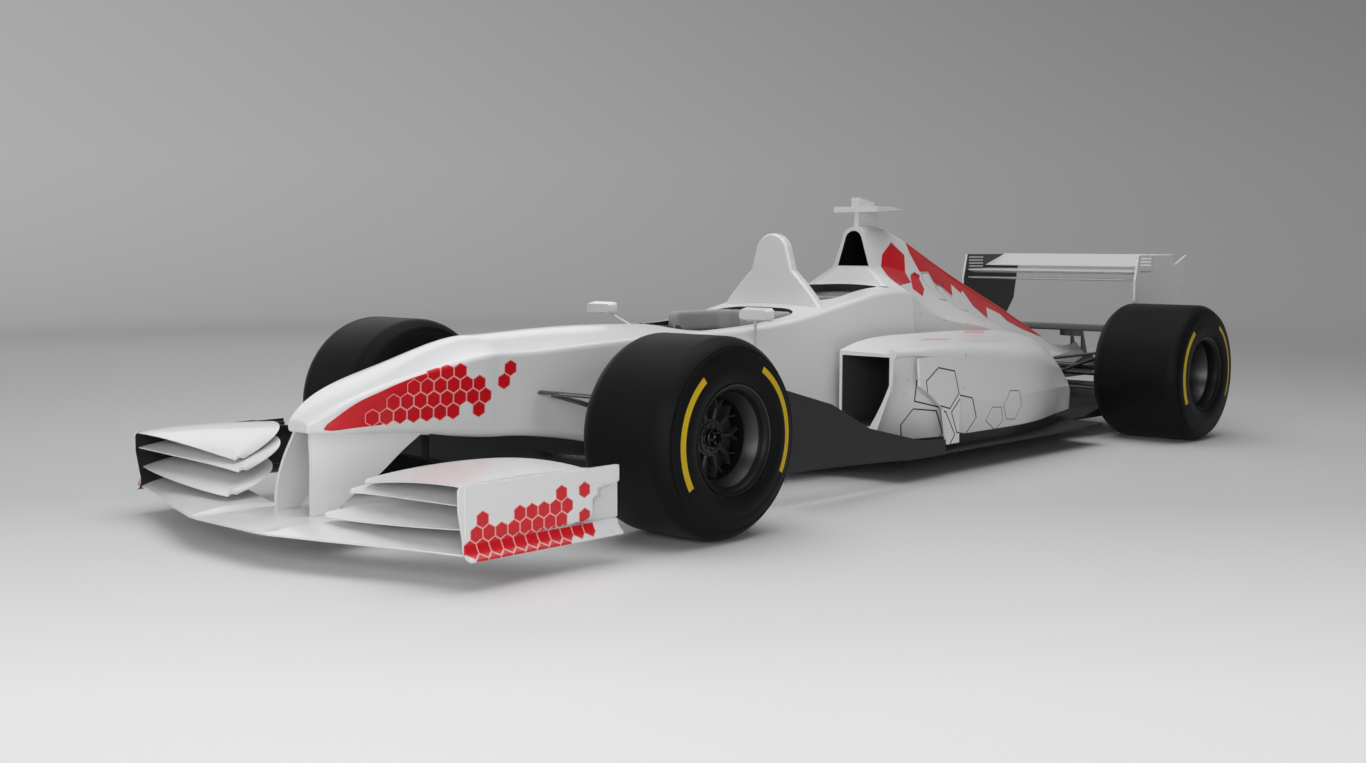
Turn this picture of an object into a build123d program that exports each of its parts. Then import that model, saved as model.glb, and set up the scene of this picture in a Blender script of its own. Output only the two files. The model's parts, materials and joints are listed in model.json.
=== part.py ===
from build123d import *
from math import atan2, cos, degrees, dist, radians, sin
import os

# An open wheel racing car with two seats in line, in millimetres.
# X points to the car's left, Y to its tail and Z up from the ground it stands on.
# A "station" is the distance of a place behind the front axle.

# Overall sizes
overall_length = 5614
overall_width = 2000
front_overhang = 1250
wheelbase = 3585
front_axle_y = front_overhang - overall_length / 2
overrun = 40
seat_gap = 0.3

# Wheels and tyres
tyre_radius = 335
front_tyre_width = 415
rear_tyre_width = 463
front_shoulder_radius = 85
rear_shoulder_radius = 67
shoulder_steps = 3
rim_flange_radius = 182
rim_seat_radius = 165
rim_barrel_wall = 8
rim_flange_width = 10
rim_inset = 12
sidewall_rise = 30
spoke_count = 10
spoke_width = 13
spoke_depth = 26
spoke_fork_share = 0.45
spoke_spread = 9
branch_share = 0.65
front_disc_inset = 105
rear_disc_inset = 190
hub_radius = 62
nut_radius = 38
nut_length = 46
journal_radius = 30
half_shaft_radius = 17
shaft_clearance = 8

# Uprights, which carry the wheels
drum_radius = 138
drum_clearance = 6
front_drum_length = 130
rear_drum_length = 150
kingpin_inset = 92
ball_radius = 17
ball_height = 30
ball_above_axle = 100
ball_below_axle = 112
lug_radius = 21
lug_thickness = 9

# Suspension links
link_chord = 40
link_thickness = 15
rod_radius = 9

# Tub, which is the hollow hull round both seats
tub_front_station = -300
tub_length = 2285
tub_half_width = 385
tub_depth = 671
tub_wall = 30
tub_low_radius = 28
tub_top_radius = 22
floor_top = 107
cockpit_half_width = 225
cockpit_end_radius = 110
front_cockpit_station = 600
front_cockpit_length = 730
rear_cockpit_station = 1480
rear_cockpit_length = 450
dash_station = 560
dash_thickness = 20
dash_floor_height = 460

# Nose
nose_length = 685
nose_tip_radius = 10

# Pylons between the nose and the front wing
pylon_thickness = 14

# Front wing
wing_half_span = 888
wing_plane_height = 100
wing_plane_thickness = 16
wing_chord = 440
flap_thickness = 8

# Front wing endplates
endplate_thickness = 9
endplate_front_station = -1065
endplate_length = 611
endplate_base = 123
endplate_height = 178
endplate_corner = 16
foot_width = 28
foot_drop = 38
foot_thickness = 7
foot_length = 600
rear_vane_inset = 22
rear_vane_length = 160

# Keel and turning vanes under the tub
keel_half_width = 84
keel_length = 1180
keel_front_station = -560
turning_vane_offset = 128
turning_vane_thickness = 6

# Floor, plank and diffuser
floor_thickness = 12
floor_half_width = 700
tray_half_width = 150
tray_front_station = 640
floor_front_station = 1385
floor_rear_station = 3090
floor_waist_half_width = 500
diffuser_front_station = 3270
diffuser_length = 640
diffuser_tyre_gap = 37
diffuser_half_width = overall_width / 2 - rear_tyre_width - diffuser_tyre_gap
diffuser_rise = 120
strake_count = 5
strake_thickness = 6
plank_half_width = 150
plank_thickness = 10
skirt_height = 50
skirt_inset = 10

# Sidepods
pod_front_station = 1368
pod_length = 1860
pod_inner = 390
pod_half_width = 700
pod_height = 475
pod_inlet_depth = 330
pod_inlet_half = 638
pod_inlet_base_half = 545
pod_inlet_base = 225
pod_inlet_top = 512
pod_inlet_shoulder = 400
pod_lip = 12

# Turning vanes that stand off the sidepods' undercut
pod_vane_thickness = 12
pod_vane_front_station = 1490
pod_vane_length = 310
pod_vane_base = 133
pod_vane_height = 372

# Bargeboards
board_thickness = 8
board_front_station = 600
board_length = 1084
board_height = 345

# Engine cover with its airbox
cover_front_station = 1990
cover_length = 2124
cover_half_width = 385
cover_height = 1045
cover_wall = 10
collar_length = 48
collar_half_width = 190
inlet_half_width = 86
inlet_apex_half = 46
inlet_lip = 17
inlet_shoulder_drop = 38
inlet_height = 160
inlet_depth = 240

# Camera pod on the airbox
mast_front_station = 2010
mast_length = 150
mast_width = 22
camera_bar_span = 240
camera_bar_height = 26
camera_bar_base = 1112
camera_bar_length = 210
camera_top_length = 120
camera_top_height = 40

# Roll hoop fairing between the seats
hoop_station = 1392
hoop_thickness = 48
hoop_height = 1011
hoop_half_width = 255
hoop_deck_share = 0.9
hoop_edge_radius = 12

# Engine and gearbox
engine_station = 2040
engine_length = 560
engine_width = 480
engine_height = 400
gearbox_length = 1080
gearbox_half_width = 82
gearbox_front_share = 1.6
gearbox_rear_share = 0.8
crash_share = 0.6
gearbox_height = 180
gearbox_base = 200
crash_length = 560
crash_half_width = 48
light_width = 90
light_height = 70
light_depth = 20

# Rear wing
rear_wing_half_span = 524
rear_plate_thickness = 12
rear_wing_front_station = 3790
rear_wing_top = 912
rear_plate_length = 574
rear_plate_height = 430
louvre_count = 5
louvre_length = 150
louvre_height = 7
louvre_pitch = 17
main_chord = 230
flap_chord = 220
element_thickness = 22
beam_station = 3940
beam_chord = 180
beam_height = 500
beam_pitch = 8
support_thickness = 10
support_spacing = 64
support_setback = 4
support_chord = 90
support_drop = 36

# Seats, headrests, steering wheel and mirrors
seat_width = 380
seat_shell = 16
seat_cushion_length = 330
seat_back_height = 360
front_seat_station = 760
rear_seat_station = 1590
seat_base_height = 60
seat_front_share = 1.6
seat_recline_share = 0.45
headrest_width = 400
headrest_thickness = 60
headrest_height = 90
front_headrest_share = 0.862
rear_headrest_share = 0.930
steering_station = 690
steering_height = 575
steering_width = 270
steering_depth = 165
steering_thickness = 32
steering_body_share = 0.62
grip_offset_share = 0.4
grip_width_share = 0.2
grip_height_share = 0.8
grip_corner_share = 0.09
column_radius = 22
mirror_offset = 420
mirror_station = 805
mirror_height = 697
mirror_width = 150
mirror_glass_height = 52
mirror_depth = 40
mirror_taper = 12
mirror_stalk_radius = 6
stalk_foot_setback = 135
stalk_foot_share = 0.75
stalk_foot_rise_share = 0.70

# Section tables, whose columns are the station as a share of the length, the half width low down and
# at the shoulder as shares of the half width, and the heights of the base, the shoulder and the crown
# as shares of the depth above the floor.
tub_section_shares = (
    (0.000, 0.430, 0.468, 0.288, 0.720, 0.802),
    (0.175, 0.520, 0.558, 0.215, 0.738, 0.821),
    (0.394, 0.675, 0.662, 0.070, 0.768, 0.812),
    (0.569, 0.860, 0.740, 0.008, 0.794, 0.817),
    (0.744, 0.974, 0.805, 0.004, 0.879, 0.902),
    (1.000, 0.987, 0.857, 0.000, 0.958, 1.000),
)
nose_section_shares = (
    (0.00, 0.135, 0.145, 0.383, 0.425, 0.440),
    (0.25, 0.309, 0.325, 0.364, 0.562, 0.577),
    (0.50, 0.356, 0.377, 0.343, 0.631, 0.663),
    (0.75, 0.395, 0.425, 0.314, 0.682, 0.745),
    (1.00, 0.430, 0.468, 0.288, 0.720, 0.802),
)
# Columns: station, half width at the base, at the shoulder, at the waist and at the spine, then the
# heights of the base, shoulder, waist, spine and apex.
cover_section_shares = (
    (0.000, 1.00, 0.850, 0.300, 0.166, 0.104, 0.710, 0.825, 0.943, 1.000),
    (0.123, 1.00, 0.850, 0.290, 0.110, 0.104, 0.600, 0.800, 0.952, 0.980),
    (0.334, 1.00, 0.840, 0.330, 0.062, 0.104, 0.530, 0.650, 0.795, 0.817),
    (0.550, 0.78, 0.640, 0.290, 0.058, 0.200, 0.420, 0.510, 0.635, 0.656),
    (0.761, 0.42, 0.370, 0.210, 0.055, 0.280, 0.360, 0.405, 0.472, 0.493),
    (1.000, 0.16, 0.130, 0.100, 0.040, 0.342, 0.352, 0.366, 0.392, 0.404),
)
# Points of the roll hoop fairing's edge: foot, flare, neck and temple. Columns: half width, and height
# as a share of the rise over the deck.
hoop_edge_shares = ((1.05, -0.05), (0.66, 0.31), (0.44, 0.48), (0.33, 0.80))
# Columns: station, half widths at the base, waist, tuck, lip and crest, then the heights of the waist,
# tuck, lip, crest and inner edge.
pod_section_shares = (
    (0.00, 0.800, 0.935, 0.940, 0.955, 0.900, 0.617, 0.838, 0.866, 0.880, 0.890),
    (0.10, 0.825, 0.930, 0.972, 0.985, 0.940, 0.600, 0.835, 0.885, 0.925, 0.970),
    (0.20, 0.900, 0.980, 0.996, 0.994, 0.930, 0.500, 0.800, 0.885, 0.940, 0.990),
    (0.34, 0.935, 0.993, 0.996, 0.980, 0.910, 0.400, 0.770, 0.865, 0.925, 0.990),
    (0.51, 0.940, 0.985, 0.980, 0.950, 0.870, 0.400, 0.720, 0.825, 0.890, 0.985),
    (0.69, 0.880, 0.925, 0.912, 0.870, 0.785, 0.400, 0.640, 0.755, 0.830, 0.950),
    (0.85, 0.765, 0.790, 0.772, 0.725, 0.660, 0.370, 0.540, 0.645, 0.725, 0.840),
    (1.00, 0.620, 0.635, 0.625, 0.605, 0.580, 0.240, 0.340, 0.400, 0.440, 0.480),
)
# Leading edge of a sidepod's vane, then its rear edge: station as a share of its length, height as a
# share of its height.
pod_vane_shares = ((0.00, 1.00), (0.03, 0.69), (0.35, 0.55), (0.60, 0.40), (0.70, 0.00), (1.00, 0.00), (1.00, 1.00))


def at(station):
    """Y of a place this far behind the front axle."""
    return front_axle_y + station


def across(station):
    """Plane across the car, with its local axes along X and Z."""
    return Plane.XZ.offset(-at(station))


def blend_rows(rows, share, column):
    """Value of a section table's column between two of its rows."""
    for before, after in zip(rows, rows[1:]):
        if share <= after[0]:
            part_way = (share - before[0]) / (after[0] - before[0])
            return before[column] + part_way * (after[column] - before[column])
    return rows[-1][column]


def hull_section(station, row, inset):
    """Section of the tub or nose: flat base, raked sides and a crowned top."""
    low = tub_half_width * row[1] - inset
    high = tub_half_width * row[2] - inset
    base = floor_top + tub_depth * row[3] + inset
    shoulder = floor_top + tub_depth * row[4] - inset
    crown = floor_top + tub_depth * row[5] - inset
    with BuildSketch(across(station)) as section:
        with BuildLine():
            Polyline((-high, shoulder), (-low, base), (low, base), (high, shoulder))
            ThreePointArc((high, shoulder), (0, crown), (-high, shoulder))
        make_face()
        side = shoulder - base
        fillet(section.vertices().sort_by(Axis.Y)[:2], min(tub_low_radius, side / 3))
        fillet(section.vertices().group_by(Axis.Y)[-1], min(tub_top_radius, side / 3))
    return section.sketch


def hull(front_station, length, rows, inset=0):
    """Smooth body through the rows' sections. An inset draws its sides and both ends in."""
    sections = []
    for row in rows:
        station = front_station + length * row[0]
        if inset and row is rows[0]:
            station += inset
        if inset and row is rows[-1]:
            station -= inset
        sections.append(hull_section(station, row, inset))
    with BuildPart() as body:
        loft(sections=sections)
    return body.part


def cover_section(row, inset):
    """Section of the engine cover: flanks that sweep up to a narrow rounded spine."""
    base_half, shoulder_half, waist_half, spine_half = (cover_half_width * share - inset for share in row[1:5])
    base, shoulder, waist, spine, apex = (cover_height * share for share in row[5:10])
    base += floor_top - cover_height * cover_section_shares[0][5]
    station = cover_front_station + cover_length * row[0]
    if row is cover_section_shares[0]:
        station += inset
    with BuildSketch(across(station)) as section:
        with BuildLine():
            Polyline(
                (-spine_half, spine - inset), (-waist_half, waist - inset), (-shoulder_half, shoulder - inset),
                (-base_half, base), (base_half, base),
                (shoulder_half, shoulder - inset), (waist_half, waist - inset), (spine_half, spine - inset),
            )
            ThreePointArc((spine_half, spine - inset), (0, apex - inset), (-spine_half, spine - inset))
        make_face()
    return section.sketch


def pod_section(row):
    """Section of the left sidepod, outside the tub: raked side, a lip over it and a top that rises inwards."""
    base_half, waist_half, tuck_half, lip_half, crest_half = (pod_half_width * share for share in row[1:6])
    waist, tuck, lip, crest, inner = (floor_top + pod_height * share for share in row[6:11])
    base = floor_top + skirt_height
    with BuildSketch(across(pod_front_station + pod_length * row[0])) as section:
        with BuildLine():
            Polyline((pod_inner, base), (base_half, base), (waist_half, waist), (tuck_half, tuck))
            ThreePointArc((tuck_half, tuck), (lip_half, lip), (crest_half, crest))
            Polyline((crest_half, crest), (pod_inner, inner), (pod_inner, base))
        make_face()
    return section.sketch


def airfoil(plane, chord, thickness, camber):
    """Wing section: leading edge at the plane's origin, trailing edge at a chord along its X."""
    nose = thickness / 3
    with BuildSketch(plane) as section:
        with BuildLine():
            ThreePointArc((0, nose / 2), (chord / 3, camber + thickness / 2), (chord, 0))
            Line((chord, 0), (chord, -nose / 2))
            ThreePointArc((chord, -nose / 2), (chord / 3, camber - thickness / 2), (0, -nose / 2))
            Line((0, -nose / 2), (0, nose / 2))
        make_face()
    return section.sketch


def wing_plane(x, station, height, pitch):
    """Plane of a wing section, whose X runs rearwards and turns up by the pitch."""
    tilt = radians(pitch)
    return Plane(
        origin=(x, at(station), height), x_dir=(0, cos(tilt), sin(tilt)), z_dir=(1, 0, 0)
    )


def element(rows, ruled=True):
    """Wing element lofted through rows of x, station, height, pitch, chord, thickness and camber."""
    sections = [airfoil(wing_plane(*row[:4]), *row[4:]) for row in rows]
    with BuildPart() as wing:
        loft(sections=sections, ruled=ruled)
    return wing.part


def bar(start, end, chord, thickness):
    """Streamlined link of a suspension arm, with a sharp leading and trailing edge."""
    along = Vector(*end) - Vector(*start)
    with BuildPart() as link:
        with BuildSketch(Plane(origin=start, x_dir=(0, 1, 0), z_dir=along)):
            with BuildLine():
                ThreePointArc((-chord / 2, 0), (0, thickness / 2), (chord / 2, 0))
                ThreePointArc((chord / 2, 0), (0, -thickness / 2), (-chord / 2, 0))
            make_face()
        extrude(amount=along.length)
    return link.part


def rod(start, end, radius):
    plane = Plane(origin=start, z_dir=Vector(*end) - Vector(*start))
    with BuildPart() as tube:
        with BuildSketch(plane):
            Circle(radius)
        extrude(amount=(Vector(*end) - Vector(*start)).length)
    return tube.part


def side_plate(x, thickness, points):
    """Upright plate from points of station and height, whose inner face lies at x."""
    with BuildPart() as plate:
        with BuildSketch(Plane.YZ.offset(x)):
            with BuildLine():
                Polyline(*[(at(station), height) for station, height in points], close=True)
            make_face()
        extrude(amount=thickness)
    return plate.part


parts = {}


def keep(name, shape):
    """Label a finished piece and keep it for writing."""
    shape.label = name
    parts[name] = shape


def keep_pair(name, left):
    keep(name + "_left", left)
    keep(name + "_right", mirror(left, about=Plane.YZ))


# Tub: its outside, less its inside and both cockpit mouths, plus the dash bulkhead with the column
with BuildPart() as tub:
    add(hull(tub_front_station, tub_length, tub_section_shares))
    add(hull(tub_front_station, tub_length, tub_section_shares, tub_wall), mode=Mode.SUBTRACT)
    for start, length in (
        (front_cockpit_station, front_cockpit_length), (rear_cockpit_station, rear_cockpit_length),
    ):
        with BuildSketch(Plane.XY.offset(floor_top + tub_depth / 2)):
            with Locations((0, at(start + length / 2))):
                RectangleRounded(2 * cockpit_half_width, length, cockpit_end_radius)
        extrude(amount=tub_depth, mode=Mode.SUBTRACT)
    dash_share = (dash_station - tub_front_station) / tub_length
    dash_half = tub_half_width * blend_rows(tub_section_shares, dash_share, 2) - tub_wall / 2
    dash_top = floor_top + tub_depth * blend_rows(tub_section_shares, dash_share, 4) - tub_wall / 2
    with BuildSketch(across(dash_station)):
        with Locations((0, (dash_top + dash_floor_height) / 2)):
            Rectangle(2 * dash_half, dash_top - dash_floor_height)
    extrude(amount=-dash_thickness)
    with BuildSketch(across(dash_station)):
        with Locations((0, steering_height)):
            Circle(column_radius)
    extrude(amount=-(steering_station - steering_thickness / 2 - seat_gap - dash_station))
keep("tub", tub.part)

# Floor: a flat plate with the tray in front, raised skirts under the sidepods and the plank below
floor_base = floor_top - floor_thickness
with BuildPart() as floor:
    with BuildSketch(Plane.XY.offset(floor_base)):
        with BuildLine():
            Polyline(
                (tray_half_width, at(tray_front_station)),
                (tray_half_width, at(floor_front_station - overrun)),
                (floor_half_width, at(floor_front_station)),
                (floor_half_width, at(floor_rear_station)),
                (floor_waist_half_width, at(floor_rear_station + overrun)),
                (floor_waist_half_width, at(diffuser_front_station)),
                (-floor_waist_half_width, at(diffuser_front_station)),
                (-floor_waist_half_width, at(floor_rear_station + overrun)),
                (-floor_half_width, at(floor_rear_station)),
                (-floor_half_width, at(floor_front_station)),
                (-tray_half_width, at(floor_front_station - overrun)),
                (-tray_half_width, at(tray_front_station)),
                close=True,
            )
        make_face()
    extrude(amount=floor_thickness)
    for side in (1, -1):
        with BuildSketch(Plane.XY.offset(floor_top)):
            with BuildLine():
                Polyline(
                    *[
                        (side * (pod_half_width * row[1] - skirt_inset), at(pod_front_station + pod_length * row[0]))
                        for row in pod_section_shares[1:-1]
                    ],
                    (side * pod_inner, at(pod_front_station + pod_length * pod_section_shares[-2][0])),
                    (side * pod_inner, at(pod_front_station + pod_length * pod_section_shares[1][0])),
                    close=True,
                )
            make_face()
        extrude(amount=skirt_height)
    with BuildSketch(Plane.XY.offset(floor_base)):
        with Locations((0, at((tray_front_station + diffuser_front_station) / 2))):
            Rectangle(2 * plank_half_width, diffuser_front_station - tray_front_station)
    extrude(amount=-plank_thickness)
keep("floor", floor.part)

# Nose, with the two pylons that carry the front wing
# Columns: height of a level of the pylon as a share of the drop to the wing, then half width and station
# of its leading edge, its middle and its trailing edge, as shares of the tub's half width and of the
# front overhang.
wing_chord_top = wing_plane_height + wing_plane_thickness / 2
pylon_height = floor_top + tub_depth * nose_section_shares[0][5] - wing_chord_top
pylon_level_shares = (
    (0.94, 0.125, -0.770, 0.280, -0.605, 0.345, -0.440),
    (0.82, 0.140, -0.778, 0.280, -0.620, 0.340, -0.462),
    (0.56, 0.216, -0.792, 0.283, -0.670, 0.315, -0.548),
    (0.32, 0.258, -0.802, 0.280, -0.712, 0.295, -0.622),
    (0.12, 0.273, -0.806, 0.278, -0.756, 0.282, -0.706),
    (0.00, 0.273, -0.806, 0.277, -0.768, 0.280, -0.730),
)


def pylon_level(side, rise, *plan_shares):
    """Level section of a pylon: a thin strip bent through three places in plan."""
    front, middle, rear = (
        (side * tub_half_width * half, at(front_overhang * back))
        for half, back in zip(plan_shares[0::2], plan_shares[1::2])
    )
    inwards = side * pylon_thickness
    with BuildSketch(Plane.XY.offset(wing_chord_top + pylon_height * rise)) as section:
        with BuildLine():
            ThreePointArc(front, middle, rear)
            Line(rear, (rear[0] - inwards, rear[1]))
            ThreePointArc((rear[0] - inwards, rear[1]), (middle[0] - inwards, middle[1]), (front[0] - inwards, front[1]))
            Line((front[0] - inwards, front[1]), front)
        make_face()
    return section.sketch


with BuildPart() as nose_cone:
    add(hull(tub_front_station - nose_length, nose_length, nose_section_shares))
    fillet(nose_cone.faces().sort_by(Axis.Y)[0].edges(), nose_tip_radius)
    for side in (1, -1):
        loft(sections=[pylon_level(side, *row) for row in pylon_level_shares])
keep("nose_cone", nose_cone.part)

# Front wing main plane: a flat middle, then a plane that rises and sweeps back to the endplates
# Columns: share of the half span, share of the overhang at the leading edge, rise as a share of the
# chord, chord share, pitch in degrees and camber as a share of the thickness.
wing_station_shares = (
    (-1.000, 0.836, 0.00, 0.57, 4.0, 0.6),
    (-0.790, 0.872, 0.00, 0.60, 4.0, 0.6),
    (-0.480, 0.948, 0.00, 0.68, 3.0, 0.5),
    (-0.250, 0.995, 0.00, 0.68, 2.0, 0.3),
    (-0.190, 1.000, 0.00, 1.00, 0.0, 0.0),
    (0.190, 1.000, 0.00, 1.00, 0.0, 0.0),
    (0.250, 0.995, 0.00, 0.68, 2.0, 0.3),
    (0.480, 0.948, 0.00, 0.68, 3.0, 0.5),
    (0.790, 0.872, 0.00, 0.60, 4.0, 0.6),
    (1.000, 0.836, 0.00, 0.57, 4.0, 0.6),
)
with BuildPart() as front_wing:
    add(element([
        (
            span * (wing_half_span - seat_gap), -front_overhang * lead,
            wing_plane_height + rise * wing_chord, pitch, chord * wing_chord,
            wing_plane_thickness, camber * wing_plane_thickness,
        )
        for span, lead, rise, chord, pitch, camber in wing_station_shares
    ]))
    add(nose_cone.part, mode=Mode.SUBTRACT)
keep("front_wing", front_wing.part)

# Front wing flaps: three tiers of leaves that grow from a pointed inner tip to the endplate
# Columns: share of the half span, then station and height of the leading edge and of the trailing edge,
# as shares of the front overhang and of the endplate's top.
flap_shares = (
    (
        (0.305, -0.860, 0.46, -0.836, 0.47), (0.450, -0.868, 0.48, -0.660, 0.64),
        (0.700, -0.862, 0.52, -0.600, 0.72), (1.000, -0.830, 0.57, -0.568, 0.68),
    ),
    (
        (0.350, -0.808, 0.69, -0.784, 0.70), (0.485, -0.820, 0.73, -0.620, 0.87),
        (0.700, -0.832, 0.765, -0.548, 0.93), (1.000, -0.842, 0.80, -0.512, 0.87),
    ),
    (
        (0.405, -0.792, 0.80, -0.768, 0.81), (0.540, -0.810, 0.86, -0.610, 0.97),
        (0.700, -0.826, 0.92, -0.520, 1.03), (1.000, -0.844, 0.975, -0.442, 0.955),
    ),
)
endplate_top = endplate_base + endplate_height
flaps = []
for tier in flap_shares:
    rows = []
    for span, lead, lead_rise, trail, trail_rise in tier:
        start = (front_overhang * lead, endplate_top * lead_rise)
        end = (front_overhang * trail, endplate_top * trail_rise)
        pitch = degrees(atan2(end[1] - start[1], end[0] - start[0]))
        rows.append((
            span * (wing_half_span - seat_gap), *start, pitch, dist(start, end), flap_thickness, flap_thickness,
        ))
    flaps.append(element(rows, ruled=False))
keep_pair("front_flaps", Compound(children=flaps))

# Front wing endplates: a plate with a curved cut-out at its back, a foot that curls outwards along its
# base, and a short vane behind it on the inside
# Columns: station as a share of the endplate's length, height as a share of its height.
endplate_shares = (
    (1.00, 0.655), (0.90, 0.540), (0.83, 0.416), (0.81, 0.090), (0.03, 0.000), (0.00, 0.600), (0.00, 0.972),
    (0.76, 1.000), (1.00, 0.900),
)
endplate_edge = [
    (at(endplate_front_station + endplate_length * back), endplate_base + endplate_height * rise)
    for back, rise in endplate_shares
]
foot_top = endplate_base + foot_thickness
plate_outer = wing_half_span + endplate_thickness
vane_rear = endplate_front_station + foot_length + rear_vane_length / 4
with BuildPart() as endplate:
    with BuildSketch(Plane.YZ.offset(wing_half_span)) as plate_section:
        with BuildLine():
            ThreePointArc(*endplate_edge[:3])
            Polyline(*endplate_edge[2:], endplate_edge[0])
        make_face()
        fillet(plate_section.vertices().group_by(Axis.Y)[-1], endplate_corner)
        fillet(plate_section.vertices().group_by(Axis.X)[0], endplate_corner)
    extrude(amount=endplate_thickness)
    with BuildSketch(across(endplate_front_station + endplate_corner)):
        with BuildLine():
            Line((wing_half_span, foot_top), (plate_outer, foot_top))
            ThreePointArc(
                (plate_outer, foot_top), (plate_outer + foot_width * 2 / 5, foot_top - foot_drop * 3 / 5),
                (plate_outer + foot_width, foot_top - foot_drop),
            )
            Line(
                (plate_outer + foot_width, foot_top - foot_drop),
                (plate_outer + foot_width, foot_top - foot_drop - foot_thickness),
            )
            ThreePointArc(
                (plate_outer + foot_width, foot_top - foot_drop - foot_thickness),
                (plate_outer, foot_top - foot_drop * 4 / 5), (wing_half_span, foot_top - 2 * foot_thickness),
            )
            Line((wing_half_span, foot_top - 2 * foot_thickness), (wing_half_span, foot_top))
        make_face()
    extrude(amount=-foot_length)
    add(side_plate(wing_half_span - rear_vane_inset, endplate_thickness, (
        (vane_rear - rear_vane_length, endplate_top - endplate_corner),
        (vane_rear - rear_vane_length, foot_top - foot_thickness), (vane_rear, foot_top),
        (vane_rear, endplate_top - 2 * endplate_corner),
    )))
    with BuildSketch(Plane.XY.offset(foot_top - 2 * foot_thickness)):
        with Locations((
            wing_half_span - rear_vane_inset / 2 + endplate_thickness / 4,
            at(endplate_front_station + endplate_corner + foot_length - rear_vane_length / 2),
        )):
            Rectangle(rear_vane_inset + endplate_thickness, rear_vane_length)
    extrude(amount=2 * foot_thickness)
keep_pair("front_endplate", endplate.part)

# Keel and turning vanes under the tub
# Columns: station as a share of the keel's length, height of its lower edge and of its upper edge as
# shares of the tub's depth. The vanes hang lower behind their leading edge.
keel_edge_shares = ((0.00, 0.218, 0.40), (0.30, 0.165, 0.40), (0.65, 0.100, 0.40))
turning_vane_drop_share = 0.1
with BuildPart() as keel:
    for offset, thickness, drop_share in (
        (-keel_half_width, 2 * keel_half_width, 0),
        (turning_vane_offset, turning_vane_thickness, turning_vane_drop_share),
        (-turning_vane_offset, -turning_vane_thickness, turning_vane_drop_share),
    ):
        drops = [0] + [drop_share] * (len(keel_edge_shares) - 1)
        add(side_plate(offset, thickness, (
            *[
                (keel_front_station + keel_length * back, floor_top + tub_depth * (low - drop))
                for (back, low, high), drop in zip(keel_edge_shares, drops)
            ],
            *[
                (keel_front_station + keel_length * back, floor_top + tub_depth * high)
                for back, low, high in (keel_edge_shares[-1], keel_edge_shares[0])
            ],
        )))
    add(hull(tub_front_station, tub_length, tub_section_shares), mode=Mode.SUBTRACT)
    add(nose_cone.part, mode=Mode.SUBTRACT)
keep("keel", keel.part)

# Half width of the gearbox where the half shafts leave it
gearbox_station = engine_station + engine_length
gearbox_mid = gearbox_base + gearbox_height / 2
axle_share = (wheelbase - half_shaft_radius - gearbox_station) / gearbox_length
gearbox_side = gearbox_half_width * (gearbox_front_share + (1 - gearbox_front_share) * axle_share)

# Wheels: tyre, rim with spokes, hub, nut and journal
WHEELS = {
    "front": (0, front_tyre_width, front_shoulder_radius, front_disc_inset, front_drum_length),
    "rear": (wheelbase, rear_tyre_width, rear_shoulder_radius, rear_disc_inset, rear_drum_length),
}


def wheel_plane(station, centre_x):
    """Plane through a wheel's axle, with its origin at the wheel's centre."""
    return Plane(origin=(centre_x, at(station), tyre_radius), x_dir=(1, 0, 0), z_dir=(0, -1, 0))


def make_tyre(station, width, shoulder):
    """Slick tyre whose shoulders turn in a few even steps between the tread and the sidewalls."""
    half = width / 2
    centre_x = overall_width / 2 - half
    bead = half - rim_inset - rim_flange_width - seat_gap
    seat = rim_seat_radius + seat_gap
    side = [(bead, seat), (bead, rim_flange_radius), (half, rim_flange_radius + sidewall_rise)]
    for step in range(shoulder_steps + 1):
        turn = radians(90 * step / shoulder_steps)
        side.append((half - shoulder * (1 - cos(turn)), tyre_radius - shoulder * (1 - sin(turn))))
    with BuildPart() as tyre:
        with BuildSketch(wheel_plane(station, centre_x)):
            with BuildLine():
                Polyline(*side, *[(-out, radius) for out, radius in reversed(side)], close=True)
            make_face()
        revolve(axis=Axis((centre_x, at(station), tyre_radius), (1, 0, 0)))
    return tyre.part


def make_rim(station, width, disc_inset, drum_length):
    half = width / 2 - rim_inset
    centre_x = overall_width / 2 - width / 2
    barrel = rim_seat_radius - rim_barrel_wall
    disc_x = overall_width / 2 - rim_inset - disc_inset
    axle = Axis((centre_x, at(station), tyre_radius), (1, 0, 0))
    hub_face = Plane(origin=(disc_x, at(station), tyre_radius), x_dir=(0, 1, 0), z_dir=(1, 0, 0))
    with BuildPart() as rim:
        with BuildSketch(wheel_plane(station, centre_x)):
            with BuildLine():
                Polyline(
                    (-half, barrel), (-half, rim_flange_radius), (-half + rim_flange_width, rim_flange_radius),
                    (-half + rim_flange_width, rim_seat_radius), (half - rim_flange_width, rim_seat_radius),
                    (half - rim_flange_width, rim_flange_radius), (half, rim_flange_radius), (half, barrel),
                    close=True,
                )
            make_face()
        revolve(axis=axle)
        fork = hub_radius + (barrel - hub_radius) * spoke_fork_share
        with BuildSketch(hub_face):
            Circle(hub_radius)
            with PolarLocations((hub_radius + fork) / 2, spoke_count):
                Rectangle(fork - hub_radius + spoke_width, spoke_width)
            for number in range(2 * spoke_count):
                turn = 360 * (number // 2) / spoke_count
                lean = spoke_spread * (2 * (number % 2) - 1)
                start = Vector(fork, 0, 0).rotate(Axis.Z, turn)
                branch = Vector(barrel + rim_barrel_wall / 2, 0, 0).rotate(Axis.Z, turn + lean) - start
                with Locations(Location(start + branch / 2, (0, 0, degrees(atan2(branch.Y, branch.X))))):
                    Rectangle(branch.length + spoke_width / 2, spoke_width * branch_share)
        extrude(amount=-spoke_depth)
        with BuildSketch(hub_face):
            Circle(nut_radius)
        extrude(amount=nut_length)
        journal_end = drum_length + drum_clearance
        with BuildSketch(hub_face.offset(-spoke_depth)):
            Circle(journal_radius - seat_gap)
        extrude(amount=-journal_end)
    return rim.part


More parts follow.
